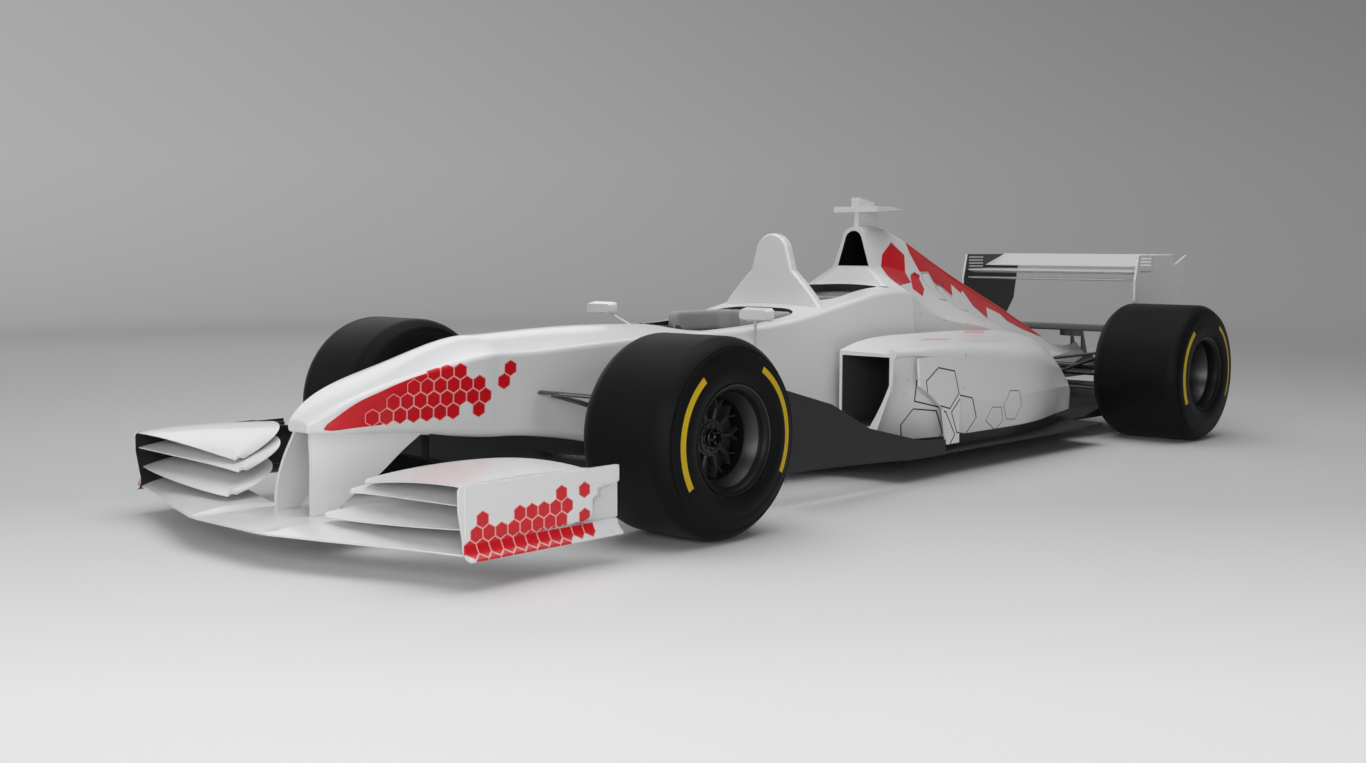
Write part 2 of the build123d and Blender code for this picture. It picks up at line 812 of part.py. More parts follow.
def make_half_shaft(disc_inset, drum_length):
    """Drive shaft from the inner end of a rear wheel's journal to the side of the gearbox."""
    outer = overall_width / 2 - rim_inset - disc_inset - spoke_depth - drum_length - drum_clearance
    with BuildPart() as shaft:
        with BuildSketch(Plane(origin=(outer, at(wheelbase), tyre_radius), x_dir=(0, 1, 0), z_dir=(1, 0, 0))):
            Circle(half_shaft_radius)
        extrude(amount=gearbox_side + seat_gap - outer)
    return shaft.part


def make_upright(station, disc_inset, drum_length):
    disc_x = overall_width / 2 - rim_inset - disc_inset
    outer = disc_x - spoke_depth - drum_clearance
    drum_face = Plane(origin=(outer, at(station), tyre_radius), x_dir=(0, 1, 0), z_dir=(1, 0, 0))
    inner = outer - drum_length
    pin_x = inner - kingpin_inset / 4
    with BuildPart() as upright:
        with BuildSketch(drum_face):
            Circle(drum_radius)
        extrude(amount=-drum_length)
        for height in (tyre_radius + ball_above_axle, tyre_radius - ball_below_axle):
            for low in (height + ball_height / 2 + seat_gap, height - ball_height / 2 - seat_gap - lug_thickness):
                with BuildSketch(Plane.XY.offset(low)):
                    with Locations((pin_x, at(station))):
                        Circle(lug_radius)
                    with Locations((pin_x + kingpin_inset / 4, at(station))):
                        Rectangle(kingpin_inset / 2, 2 * lug_radius)
                extrude(amount=lug_thickness)
        with BuildSketch(drum_face):
            Circle(journal_radius)
        extrude(amount=-drum_length, mode=Mode.SUBTRACT)
    return upright.part, pin_x


# Arm roots: columns are x, station behind the axle and height of the root, then height of the ball
# joint over the axle, all as shares of the tyre radius
front_arm_shares = (
    (0.58, -0.36, 1.33, ball_above_axle / tyre_radius),
    (0.62, 0.50, 1.36, ball_above_axle / tyre_radius),
    (0.22, -0.14, 0.63, -ball_below_axle / tyre_radius),
    (0.22, 0.55, 0.60, -ball_below_axle / tyre_radius),
)
rear_arm_shares = (
    (0.22, -0.90, 1.06, ball_above_axle / tyre_radius),
    (0.22, 0.22, 1.04, ball_above_axle / tyre_radius),
    (0.22, -0.80, 0.76, -ball_below_axle / tyre_radius),
    (0.22, 0.22, 0.76, -ball_below_axle / tyre_radius),
)


def make_arms(station, pin_x, roots, carriers, rods):
    """Wishbones that meet in ball joints, cut to the surfaces that carry them."""
    with BuildPart() as arms:
        for root_x, root_back, root_height, ball in roots:
            start = (tyre_radius * root_x, at(station) + tyre_radius * root_back, tyre_radius * root_height)
            end = (pin_x, at(station), tyre_radius * (1 + ball))
            add(bar(start, end, link_chord, link_thickness))
        for height in (tyre_radius + ball_above_axle, tyre_radius - ball_below_axle):
            with BuildSketch(Plane.XY.offset(height - ball_height / 2)):
                with Locations((pin_x, at(station))):
                    Circle(ball_radius)
            extrude(amount=ball_height)
        for start, end in rods:
            add(rod(start, end, rod_radius))
        for carrier in carriers:
            add(carrier, mode=Mode.SUBTRACT)
    return arms.part


for axle, (station, width, shoulder, disc_inset, drum_length) in WHEELS.items():
    keep_pair(axle + "_tyre", make_tyre(station, width, shoulder))
    keep_pair(axle + "_rim", make_rim(station, width, disc_inset, drum_length))
keep_pair("half_shaft", make_half_shaft(rear_disc_inset, rear_drum_length))
front_upright, front_pin_x = make_upright(0, front_disc_inset, front_drum_length)
rear_upright, rear_pin_x = make_upright(wheelbase, rear_disc_inset, rear_drum_length)
keep_pair("front_upright", front_upright)
keep_pair("rear_upright", rear_upright)

# Gearbox with the crash structure and tail light, and the engine block
with BuildPart() as gearbox:
    with BuildSketch(across(gearbox_station)):
        with Locations((0, gearbox_mid)):
            RectangleRounded(2 * gearbox_half_width * gearbox_front_share, gearbox_height, skirt_inset)
    with BuildSketch(across(gearbox_station + gearbox_length)):
        with Locations((0, gearbox_mid)):
            RectangleRounded(2 * gearbox_half_width, gearbox_height * gearbox_rear_share, skirt_inset)
    loft(ruled=True)
    with BuildSketch(across(gearbox_station + gearbox_length)):
        with Locations((0, gearbox_mid)):
            RectangleRounded(2 * crash_half_width, gearbox_height * crash_share, skirt_inset)
    extrude(amount=-crash_length)
    with BuildSketch(across(gearbox_station + gearbox_length + crash_length)):
        with Locations((0, gearbox_mid)):
            RectangleRounded(light_width, light_height, skirt_inset)
    extrude(amount=-light_depth)
keep("gearbox", gearbox.part)

with BuildPart() as engine:
    with BuildSketch(across(engine_station)):
        with Locations((0, floor_top + engine_height / 2)):
            Rectangle(engine_width, engine_height)
    extrude(amount=-engine_length)
keep("engine", engine.part)

# Engine cover: outer skin less the inside, with the airbox mouth
inlet_apex_height = cover_height - inlet_lip
inlet_shoulder_height = inlet_apex_height - inlet_shoulder_drop
inlet_base_height = inlet_apex_height - inlet_height
with BuildPart() as cover_solid:
    loft(sections=[cover_section(row, 0) for row in cover_section_shares])
with BuildPart() as engine_cover:
    add(cover_solid)
    loft(sections=[cover_section(row, cover_wall) for row in cover_section_shares], mode=Mode.SUBTRACT)
    with BuildSketch(across(cover_front_station)):
        with BuildLine():
            Polyline(
                (-inlet_apex_half, inlet_shoulder_height), (-inlet_half_width, inlet_base_height),
                (inlet_half_width, inlet_base_height), (inlet_apex_half, inlet_shoulder_height),
            )
            ThreePointArc(
                (inlet_apex_half, inlet_shoulder_height), (0, inlet_apex_height),
                (-inlet_apex_half, inlet_shoulder_height),
            )
        make_face()
    extrude(amount=-inlet_depth, mode=Mode.SUBTRACT)
    with BuildSketch(Plane.XY.offset(floor_top + tub_depth)):
        with Locations((0, at(cover_front_station - collar_length / 2))):
            Rectangle(2 * collar_half_width, collar_length)
    with BuildSketch(Plane.XY.offset(inlet_base_height - cover_wall)):
        with Locations((0, at(cover_front_station - cover_wall / 2))):
            Rectangle(2 * inlet_half_width, cover_wall)
    loft()
    split(bisect_by=Plane.XY.offset(floor_top), keep=Keep.TOP)
    add(tub.part, mode=Mode.SUBTRACT)
    add(floor.part, mode=Mode.SUBTRACT)
    add(gearbox.part, mode=Mode.SUBTRACT)
    with BuildSketch(Plane.YZ):
        with Locations((at(wheelbase), tyre_radius)):
            Circle(half_shaft_radius + shaft_clearance)
    extrude(amount=cover_half_width, both=True, mode=Mode.SUBTRACT)
keep("engine_cover", engine_cover.part)

# Suspension arms. Rods: the track rod and the push rod, each from the chassis to the upright.
# Columns: x, station behind the axle and height of the inner end, then of the outer end, where x counts
# from the car's middle at the inner end and inwards from the pin at the outer one, all as shares of the
# tyre's radius.
front_rod_shares = (
    (0.53, -0.19, 1.30, 0.15, -0.19, 1.12),
    (0.57, 0.72, 1.66, 0.15, 0.00, 0.67),
)
rear_rod_shares = (
    (0.20, 0.24, 0.87, 0.15, 0.17, 0.87),
    (0.20, -0.24, 0.72, 0.15, 0.00, 1.30),
)


def rod_ends(station, pin_x, rows):
    return [
        (
            (tyre_radius * inner_x, at(station) + tyre_radius * inner_back, tyre_radius * inner_height),
            (pin_x - tyre_radius * outer_x, at(station) + tyre_radius * outer_back, tyre_radius * outer_height),
        )
        for inner_x, inner_back, inner_height, outer_x, outer_back, outer_height in rows
    ]


front_rods = rod_ends(0, front_pin_x, front_rod_shares)
rear_rods = rod_ends(wheelbase, rear_pin_x, rear_rod_shares)
keep_pair("front_arms", make_arms(0, front_pin_x, front_arm_shares, (tub.part, keel.part), front_rods))
keep_pair("rear_arms", make_arms(wheelbase, rear_pin_x, rear_arm_shares, (gearbox.part, engine_cover.part), rear_rods))

# Camera pod: mast, crossbar and the small housing on top
camera_front = mast_front_station - skirt_inset
with BuildPart() as camera_pod:
    add(side_plate(-mast_width / 2, mast_width, (
        (mast_front_station, camera_bar_base + camera_bar_height / 3),
        (mast_front_station, cover_height - 2 * camera_bar_height),
        (mast_front_station + mast_length, cover_height - 2 * camera_bar_height),
        (mast_front_station + mast_length, camera_bar_base + camera_bar_height / 3),
    )))
    add(cover_solid, mode=Mode.SUBTRACT)
    add(side_plate(-camera_bar_span / 2, camera_bar_span, (
        (camera_front, camera_bar_base),
        (camera_front + camera_bar_length, camera_bar_base + camera_bar_height / 2),
        (camera_front + camera_bar_length / 2, camera_bar_base + camera_bar_height),
        (camera_front, camera_bar_base + camera_bar_height),
    )))
    add(side_plate(-mast_width, 2 * mast_width, (
        (camera_front, camera_bar_base + camera_bar_height / 2),
        (camera_front + camera_top_length, camera_bar_base + camera_bar_height / 2),
        (camera_front + camera_top_length, camera_bar_base + camera_bar_height + camera_top_height / 2),
        (camera_front, camera_bar_base + camera_bar_height + camera_top_height),
    )))
keep("camera_pod", camera_pod.part)

# Sidepods, with the radiator inlet open to the front and a vane that stands off the undercut side
pod_vane = [
    (pod_vane_front_station + pod_vane_length * back, pod_vane_base + pod_vane_height * rise)
    for back, rise in pod_vane_shares
]
with BuildPart() as sidepod:
    loft(sections=[pod_section(row) for row in pod_section_shares])
    with BuildSketch(across(pod_front_station)):
        with BuildLine():
            Polyline(
                (pod_inlet_half, pod_inlet_shoulder), (pod_inlet_half, pod_inlet_top),
                (pod_inner + pod_lip, pod_inlet_top), (pod_inner + pod_lip, pod_inlet_base),
                (pod_inlet_base_half, pod_inlet_base),
            )
            ThreePointArc(
                (pod_inlet_base_half, pod_inlet_base),
                ((pod_inlet_half + pod_inlet_base_half) / 2 + pod_lip / 2, (pod_inlet_base + pod_inlet_shoulder) / 2),
                (pod_inlet_half, pod_inlet_shoulder),
            )
        make_face()
    extrude(amount=-pod_inlet_depth, mode=Mode.SUBTRACT)
    add(side_plate(pod_half_width - pod_vane_thickness, pod_vane_thickness, pod_vane))
keep_pair("sidepod", sidepod.part)

# Bargeboards between the front wheels and the sidepods
# Columns: station as a share of the board's length, height of its top and bottom edge as shares of
# the board's height over the floor's base.
board_edge_shares = (
    (0.00, 1.00, 0.10),
    (0.27, 0.78, 0.08),
    (0.50, 0.45, 0.05),
    (0.84, 0.21, 0.00),
    (1.00, 0.18, 0.00),
)
board_edges = [
    (board_front_station + board_length * share, floor_base + board_height * top, floor_base + board_height * low)
    for share, top, low in board_edge_shares
]
bargeboard = side_plate(floor_half_width, board_thickness, (
    *[(station, top) for station, top, low in board_edges],
    *[(station, low) for station, top, low in reversed(board_edges)],
))
keep_pair("bargeboard", bargeboard)

# Roll hoop fairing between the seats
hoop_deck = floor_top + tub_depth * hoop_deck_share
foot, flare, neck, temple = (
    (hoop_half_width * half, hoop_deck + (hoop_height - hoop_deck) * rise) for half, rise in hoop_edge_shares
)
with BuildPart() as roll_hoop:
    with BuildSketch(across(hoop_station)):
        with BuildLine():
            ThreePointArc(temple, (0, hoop_height), (-temple[0], temple[1]))
            for side in (1, -1):
                ThreePointArc(*[(side * half, height) for half, height in (foot, flare, neck)])
                Line((side * neck[0], neck[1]), (side * temple[0], temple[1]))
            Line(foot, (-foot[0], foot[1]))
        make_face()
    extrude(amount=-hoop_thickness)
    hoop_rim = roll_hoop.edges().filter_by(Axis.Y, reverse=True).sort_by(Axis.Z)
    fillet(hoop_rim.filter_by_position(Axis.Z, hoop_deck, hoop_height), hoop_edge_radius)
    add(tub.part, mode=Mode.SUBTRACT)
keep("roll_hoop", roll_hoop.part)

# Mirrors on stalks from the tub's shoulders
with BuildPart() as mirror_pod:
    with BuildSketch(across(mirror_station)):
        with Locations((mirror_offset, mirror_height)):
            RectangleRounded(mirror_width, mirror_glass_height, mirror_glass_height / 3)
    extrude(amount=mirror_depth, taper=mirror_taper)
    add(rod(
        (
            tub_half_width * stalk_foot_share, at(mirror_station + stalk_foot_setback),
            floor_top + tub_depth * stalk_foot_rise_share,
        ),
        (mirror_offset, at(mirror_station - mirror_depth / 2), mirror_height),
        mirror_stalk_radius,
    ))
    add(tub.part, mode=Mode.SUBTRACT)
keep_pair("mirror", mirror_pod.part)

# Seats: a bent shell with a thick pad, standing on the tub's floor
tub_floor = floor_top + tub_wall


def make_seat(station):
    back = station + seat_cushion_length
    top = tub_floor + seat_base_height + seat_back_height
    recline = seat_cushion_length * seat_recline_share
    with BuildPart() as seat:
        add(side_plate(-seat_width / 2, seat_width, (
            (station, tub_floor - tub_wall / 2),
            (station, tub_floor + seat_base_height * seat_front_share),
            (back - seat_base_height, tub_floor + seat_base_height),
            (back - seat_base_height + recline, top),
            (back + recline, top),
            (back + seat_shell, tub_floor - tub_wall / 2),
        )))
        add(tub.part, mode=Mode.SUBTRACT)
    return Part() + seat.part.solids().sort_by(SortBy.VOLUME)[-1]


keep("seat_front", make_seat(front_seat_station))
keep("seat_rear", make_seat(rear_seat_station - seat_cushion_length / 2))

# Headrests: padded collars round the back of each cockpit mouth
for name, start, length, rise_share in (
    ("headrest_front", front_cockpit_station, front_cockpit_length, front_headrest_share),
    ("headrest_rear", rear_cockpit_station, rear_cockpit_length, rear_headrest_share),
):
    with BuildPart() as headrest:
        with BuildSketch(Plane.XY.offset(floor_top + tub_depth * rise_share - headrest_height)):
            with Locations((0, at(start + length / 2))):
                RectangleRounded(
                    2 * cockpit_half_width - 2 * seat_gap, length - 2 * seat_gap, cockpit_end_radius - seat_gap
                )
                RectangleRounded(
                    2 * (cockpit_half_width - headrest_thickness), length - 2 * headrest_thickness,
                    cockpit_end_radius - headrest_thickness, mode=Mode.SUBTRACT,
                )
            with Locations((0, at(start + length / 4))):
                Rectangle(2 * cockpit_half_width, length / 2, mode=Mode.SUBTRACT)
        extrude(amount=headrest_height)
    keep(name, headrest.part)

# Steering wheel: a flat body with a grip at each side
with BuildPart() as steering_wheel:
    with BuildSketch(across(steering_station - steering_thickness / 2)):
        with Locations((0, steering_height)):
            RectangleRounded(steering_width * steering_body_share, steering_depth, steering_depth / 5)
            with Locations((steering_width * grip_offset_share, 0), (-steering_width * grip_offset_share, 0)):
                RectangleRounded(
                    steering_width * grip_width_share, steering_depth * grip_height_share,
                    steering_width * grip_corner_share,
                )
    extrude(amount=-steering_thickness)
keep("steering_wheel", steering_wheel.part)

# Diffuser: a ramp that rises to the tail between side fences, with strakes below it
with BuildPart() as diffuser:
    rear = diffuser_front_station + diffuser_length
    add(side_plate(-diffuser_half_width, 2 * diffuser_half_width, (
        (diffuser_front_station, floor_base), (rear, floor_base + diffuser_rise),
        (rear, floor_top + diffuser_rise), (diffuser_front_station, floor_top),
    )))
    for number in range(strake_count):
        x = (number / (strake_count - 1) - 1 / 2) * (2 * diffuser_half_width - strake_thickness)
        add(side_plate(x - strake_thickness / 2, strake_thickness, (
            (diffuser_front_station, floor_base), (rear, floor_base),
            (rear, floor_base + diffuser_rise),
        )))
keep("diffuser", diffuser.part)

# Rear wing: main plane and flap between the endplates
wing_inner = rear_wing_half_span - rear_plate_thickness - seat_gap
# Columns: setback of the leading edge behind the endplates' front, drop below the endplates' top, pitch
# in degrees, chord, and thickness, as shares of the main chord, the endplates' height, the flap's chord
# and the main element's thickness.
rear_element_shares = (
    (0.04, 0.20, 2, 1.05, 1.0),
    (0.86, 0.14, 17, 1.00, 0.6),
    (0.04, 0.30, 3, 0.40, 0.5),
)
rear_camber_share = -0.4
rear_elements = []
for setback, drop, pitch, chord_share, thickness_share in rear_element_shares:
    start = rear_wing_front_station + main_chord * setback
    height = rear_wing_top - rear_plate_height * drop
    thickness = element_thickness * thickness_share
    rear_elements.append(element([
        (x, start, height, pitch, flap_chord * chord_share, thickness, thickness * rear_camber_share)
        for x in (-wing_inner, wing_inner)
    ]))
keep("rear_wing", Compound(children=rear_elements))

# Rear wing endplates
# Columns: station and height as shares of the endplate's length and height below the wing's top.
rear_plate_shares = (
    (0.00, 0.00), (0.72, 0.00), (0.73, 0.13), (1.00, 0.00), (0.90, 0.60), (0.62, 1.00), (0.20, 1.00),
    (-0.06, 0.55), (-0.06, 0.30),
)
with BuildPart() as rear_endplate:
    add(side_plate(rear_wing_half_span - rear_plate_thickness, rear_plate_thickness, [
        (rear_wing_front_station + rear_plate_length * back, rear_wing_top - rear_plate_height * down)
        for back, down in rear_plate_shares
    ]))
    with BuildSketch(Plane.YZ):
        with Locations((
            at(rear_wing_front_station + louvre_pitch + louvre_length / 2),
            rear_wing_top - louvre_pitch * (louvre_count + 1) / 2,
        )):
            with GridLocations(louvre_length, louvre_pitch, 1, louvre_count):
                Rectangle(louvre_length, louvre_height)
    extrude(amount=rear_wing_half_span, mode=Mode.SUBTRACT)
keep_pair("rear_endplate", rear_endplate.part)

# Beam wing and the twin supports that stand on the crash structure
with BuildPart() as beam_wing:
    add(element([
        (x, beam_station, beam_height, beam_pitch, beam_chord, element_thickness, 0)
        for x in (-wing_inner, wing_inner)
    ]))
    for side in (1, -1):
        support_station = beam_station + beam_chord + support_setback
        add(side_plate(side * support_spacing / 2 - support_thickness / 2, support_thickness, (
            (support_station, gearbox_mid), (support_station + support_chord, gearbox_mid),
            (beam_station + beam_chord, beam_height + element_thickness / 2),
            (beam_station + beam_chord / 3, beam_height), (beam_station + beam_chord / 3, beam_height - support_drop),
            (support_station, beam_height - support_drop - skirt_inset),
        )))
    add(gearbox.part, mode=Mode.SUBTRACT)
keep("beam_wing", beam_wing.part)

os.makedirs("parts", exist_ok=True)
for name, shape in parts.items():
    export_step(shape, f"parts/{name}.step")
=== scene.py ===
import json
import math
from functools import reduce

import bmesh
import bpy
from mathutils import Matrix, Vector

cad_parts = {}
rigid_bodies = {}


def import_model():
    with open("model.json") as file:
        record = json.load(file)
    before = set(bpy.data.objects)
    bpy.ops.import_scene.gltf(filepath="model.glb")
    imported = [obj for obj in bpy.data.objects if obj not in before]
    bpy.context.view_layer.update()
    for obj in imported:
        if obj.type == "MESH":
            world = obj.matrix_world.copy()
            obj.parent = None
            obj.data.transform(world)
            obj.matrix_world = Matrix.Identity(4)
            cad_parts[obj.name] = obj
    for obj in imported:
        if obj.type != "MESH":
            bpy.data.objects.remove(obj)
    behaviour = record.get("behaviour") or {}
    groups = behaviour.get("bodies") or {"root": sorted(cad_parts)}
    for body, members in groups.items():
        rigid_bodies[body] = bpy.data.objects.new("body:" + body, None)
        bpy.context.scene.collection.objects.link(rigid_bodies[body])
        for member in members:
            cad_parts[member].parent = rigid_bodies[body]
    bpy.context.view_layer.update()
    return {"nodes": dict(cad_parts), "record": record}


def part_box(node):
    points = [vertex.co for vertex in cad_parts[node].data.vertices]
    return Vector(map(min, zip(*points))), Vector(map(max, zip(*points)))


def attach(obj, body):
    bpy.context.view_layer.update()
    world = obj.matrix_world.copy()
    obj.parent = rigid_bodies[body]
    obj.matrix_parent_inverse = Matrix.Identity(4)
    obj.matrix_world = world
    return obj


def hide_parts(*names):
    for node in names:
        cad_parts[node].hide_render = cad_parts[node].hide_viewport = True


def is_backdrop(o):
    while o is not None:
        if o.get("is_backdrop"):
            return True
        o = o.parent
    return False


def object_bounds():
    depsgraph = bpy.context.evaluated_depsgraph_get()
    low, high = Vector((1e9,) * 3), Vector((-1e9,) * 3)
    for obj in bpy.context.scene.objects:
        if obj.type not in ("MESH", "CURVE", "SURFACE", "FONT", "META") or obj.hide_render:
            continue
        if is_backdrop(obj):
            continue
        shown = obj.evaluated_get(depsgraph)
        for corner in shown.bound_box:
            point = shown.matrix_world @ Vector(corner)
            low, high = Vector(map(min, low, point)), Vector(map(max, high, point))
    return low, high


for leftover in list(bpy.data.objects):
    bpy.data.objects.remove(leftover)

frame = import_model()

# The row frame: X to the car's left, Y to its tail, Z up. A station is a distance behind the front axle.
BODIES = {node: body for body, nodes in frame["record"]["behaviour"]["bodies"].items() for node in nodes}
SIDES = (("left", 1), ("right", -1))


def box_centre(node):
    low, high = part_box(node)
    return (low + high) / 2


FRONT_AXLE = box_centre("front_tyre_left")
TYRE_RADIUS = FRONT_AXLE.z
RIM_RADIUS = (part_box("front_rim_left")[1].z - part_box("front_rim_left")[0].z) / 2


def at(station):
    """Y of a place this far behind the front axle, in metres."""
    return FRONT_AXLE.y + station


# Camera at the photograph's view
CAMERA_PLACE = (4.1624, -5.2941, 0.9661)
CAMERA_TURN = (84.86, -0.17, 42.33)
CAMERA_LENS = 40.38
camera = bpy.data.objects.new("camera", bpy.data.cameras.new("camera"))
bpy.context.scene.collection.objects.link(camera)
bpy.context.scene.camera = camera
camera.data.sensor_width = 36
camera.data.lens = CAMERA_LENS
camera.data.clip_end = 200
camera.location = CAMERA_PLACE
camera.rotation_euler = [math.radians(turn) for turn in CAMERA_TURN]


def math_node(operation, swap=False):
    """Method of a Value that adds one Math node."""
    return lambda self, *others: self.math(operation, *others, swap=swap)


# Shader values: a socket wrapped so that plain sums and comparisons build Math nodes
class Value:
    def __init__(self, tree, socket):
        self.tree = tree
        self.socket = socket

    def math(self, operation, *others, swap=False):
        node = self.tree.nodes.new("ShaderNodeMath")
        node.operation = operation
        operands = [*others, self] if swap else [self, *others]
        for slot, operand in zip(node.inputs, operands):
            if isinstance(operand, Value):
                self.tree.links.new(operand.socket, slot)
            else:
                slot.default_value = operand
        return Value(self.tree, node.outputs[0])

    __add__ = __radd__ = math_node("ADD")
    __mul__ = __rmul__ = math_node("MULTIPLY")
    __sub__, __rsub__ = math_node("SUBTRACT"), math_node("SUBTRACT", swap=True)
    __truediv__ = math_node("DIVIDE")
    __gt__, __lt__ = math_node("GREATER_THAN"), math_node("LESS_THAN")
    __abs__, floor = math_node("ABSOLUTE"), math_node("FLOOR")
    least, most = math_node("MINIMUM"), math_node("MAXIMUM")

    def between(self, low, high):
        return (self > low) * (self < high)


def any_of(masks):
    """Where at least one of the masks is on."""
    return reduce(Value.most, masks)


def coordinates(tree, kind="Object"):
    """Object coordinates as three values. A CAD node's are the row frame's."""
    source = tree.nodes.new("ShaderNodeTexCoord")
    split = tree.nodes.new("ShaderNodeSeparateXYZ")
    tree.links.new(source.outputs[kind], split.inputs[0])
    return [Value(tree, socket) for socket in split.outputs]


def facing(tree):
    """The surface's outward direction as three values."""
    return coordinates(tree, "Normal")


def profile_line(tree, along, points, handles="VECTOR"):
    """Height, from 0 to 1 m, of a line through points of (value, height)."""
    first, last = points[0][0], points[-1][0]
    node = tree.nodes.new("ShaderNodeFloatCurve")
    curve = node.mapping.curves[0]
    spots = [((value - first) / (last - first), height) for value, height in points]
    curve.points[0].location, curve.points[1].location = spots[0], spots[-1]
    for spot in spots[1:-1]:
        curve.points.new(*spot)
    for point in curve.points:
        point.handle_type = handles
    node.mapping.update()
    tree.links.new(((along - first) / (last - first)).socket, node.inputs["Value"])
    return Value(tree, node.outputs[0])


def inside(u, v, corners):
    """How far a place is inside a convex outline, negative outside it."""
    turning = sum(a[0] * b[1] - a[1] * b[0] for a, b in zip(corners, corners[1:] + corners[:1]))
    if turning < 0:
        corners = corners[::-1]
    edges = []
    for (u0, v0), (u1, v1) in zip(corners, corners[1:] + corners[:1]):
        span = math.hypot(u1 - u0, v1 - v0)
        offset = (u0 * (v1 - v0) - v0 * (u1 - u0)) / span
        edges.append(u * ((v0 - v1) / span) + v * ((u1 - u0) / span) + offset)
    return reduce(Value.least, edges)


def noise(tree, scale, detail=2.0):
    source = tree.nodes.new("ShaderNodeTexCoord")
    texture = tree.nodes.new("ShaderNodeTexNoise")
    texture.inputs["Scale"].default_value = scale
    texture.inputs["Detail"].default_value = detail
    tree.links.new(source.outputs["Object"], texture.inputs["Vector"])
    return Value(tree, texture.outputs["Fac"])


def bump(tree, shader, height, strength, distance):
    node = tree.nodes.new("ShaderNodeBump")
    node.inputs["Strength"].default_value = strength
    node.inputs["Distance"].default_value = distance
    tree.links.new(height.socket, node.inputs["Height"])
    tree.links.new(node.outputs["Normal"], shader.inputs["Normal"])


def mix(tree, amount, first, second):
    """Colour between two, each a colour or the output of another mix."""
    node = tree.nodes.new("ShaderNodeMix")
    node.data_type = "RGBA"
    tree.links.new(amount.socket, node.inputs["Factor"])
    for name, colour in (("A", first), ("B", second)):
        slot = next(s for s in node.inputs if s.name == name and s.type == "RGBA")
        if isinstance(colour, bpy.types.NodeSocket):
            tree.links.new(colour, slot)
        else:
            slot.default_value = (*colour, 1)
    return next(s for s in node.outputs if s.type == "RGBA")


def toned(colour, share):
    return tuple(part * share for part in colour)


def new_material(name, **sockets):
    material = bpy.data.materials.new(name)
    material.use_nodes = True
    shader = material.node_tree.nodes["Principled BSDF"]
    for socket, value in sockets.items():
        shader.inputs[socket.replace("_", " ")].default_value = value
    return material, material.node_tree, shader


# Colours, as linear light
WHITE = (0.80, 0.80, 0.80)
RED = (0.66, 0.008, 0.015)
PALE_RED = (0.86, 0.40, 0.40)
BLACK = (0.012, 0.012, 0.013)
YELLOW = (0.62, 0.43, 0.02)
# Painted shade for the inside of the radiator inlets
INLET_SHADE = (0.060, 0.060, 0.062)


def hexagons(u, v, width, rows, rim=0.1):
    """Masks of the cells and of their outlines. Rows are (row, first cell, last cell), counted from the
    lattice's origin; every odd row lies half a cell further on, and the cells stand on a point."""
    pitch = width * math.sqrt(3)

    def nearest(shift):
        across = ((u / width - shift + 0.5).floor() + shift) * width
        up = ((v / pitch - shift + 0.5).floor() + shift) * pitch
        return across, up

    (a_u, a_v), (b_u, b_v) = nearest(0), nearest(0.5)
    a_far = (u - a_u) * (u - a_u) + (v - a_v) * (v - a_v)
    b_far = (u - b_u) * (u - b_u) + (v - b_v) * (v - b_v)
    use_b = b_far < a_far
    cell_u = a_u + (b_u - a_u) * use_b
    cell_v = a_v + (b_v - a_v) * use_b
    off_u, off_v = abs(u - cell_u), abs(v - cell_v)
    reach = off_u.most(off_u * 0.5 + off_v * (math.sqrt(3) / 2))
    runs = []
    for row, first, last in rows:
        shift = 0.5 * (row % 2)
        in_row = cell_v.between((row - 0.5) * pitch / 2, (row + 0.5) * pitch / 2)
        in_run = cell_u.between((first + shift - 0.25) * width, (last + shift + 0.25) * width)
        runs.append(in_row * in_run)
    chosen = any_of(runs)
    inner = reach < width * (0.5 - rim / 2)
    return chosen * inner, chosen * (1 - inner)


def gloss_paint(name, layers=None, base=WHITE):
    """Glossy lacquer over paint, with faint orange peel. layers(tree, x, y, z) gives masks and colours."""
    material, tree, shader = new_material(name, Specular_IOR_Level=0.4, Coat_Weight=0.3, Coat_Roughness=0.06)
    cloud = noise(tree, 1.6, 3)
    colour = mix(tree, cloud * 0.35, base, toned(base, 0.93))
    if layers:
        for mask, paint in layers(tree, *coordinates(tree)):
            colour = mix(tree, mask, colour, paint)
    tree.links.new(colour, shader.inputs["Base Color"])
    rough = noise(tree, 14) * 0.08 + 0.28
    tree.links.new(rough.socket, shader.inputs["Roughness"])
    bump(tree, shader, noise(tree, 420), 0.05, 0.0004)
    return material


def carbon(name, shade=0.022, rough=0.38, weave=0.004, coat=0.4):
    """Twill woven composite under clear resin."""
    material, tree, shader = new_material(name, Coat_Weight=coat, Coat_Roughness=0.12)
    x, y, z = coordinates(tree)
    warp = ((x + z) / weave).floor()
    weft = (y / weave).floor()
    twill = ((warp + weft) / 4).math("FRACT") < 0.5
    colour = mix(tree, twill * 0.8 + noise(tree, 6) * 0.2, (shade * 0.55,) * 3, (shade * 1.4,) * 3)
    tree.links.new(colour, shader.inputs["Base Color"])
    tree.links.new((twill * 0.1 + (rough + noise(tree, 9) * 0.08)).socket, shader.inputs["Roughness"])
    bump(tree, shader, twill, 0.12, 0.0003)
    return material


GRAIN_DEPTH = 0.0006


def plain(name, colour, rough=0.5, metal=0.0, grain=60, strength=0.2, vary=0.25, coat=0.0, shine=0.5):
    """A moulded, cast or machined finish: uneven tone and roughness, and a fine grain."""
    material, tree, shader = new_material(name, Metallic=metal, Coat_Weight=coat, Specular_IOR_Level=shine)
    patchy = noise(tree, grain / 5, 4)
    tone = mix(tree, patchy, toned(colour, 1 - vary), toned(colour, 1 + vary))
    tree.links.new(tone, shader.inputs["Base Color"])
    tree.links.new((patchy * 0.16 + (rough - 0.08)).socket, shader.inputs["Roughness"])
    bump(tree, shader, noise(tree, grain * 8), strength, GRAIN_DEPTH)
    return material


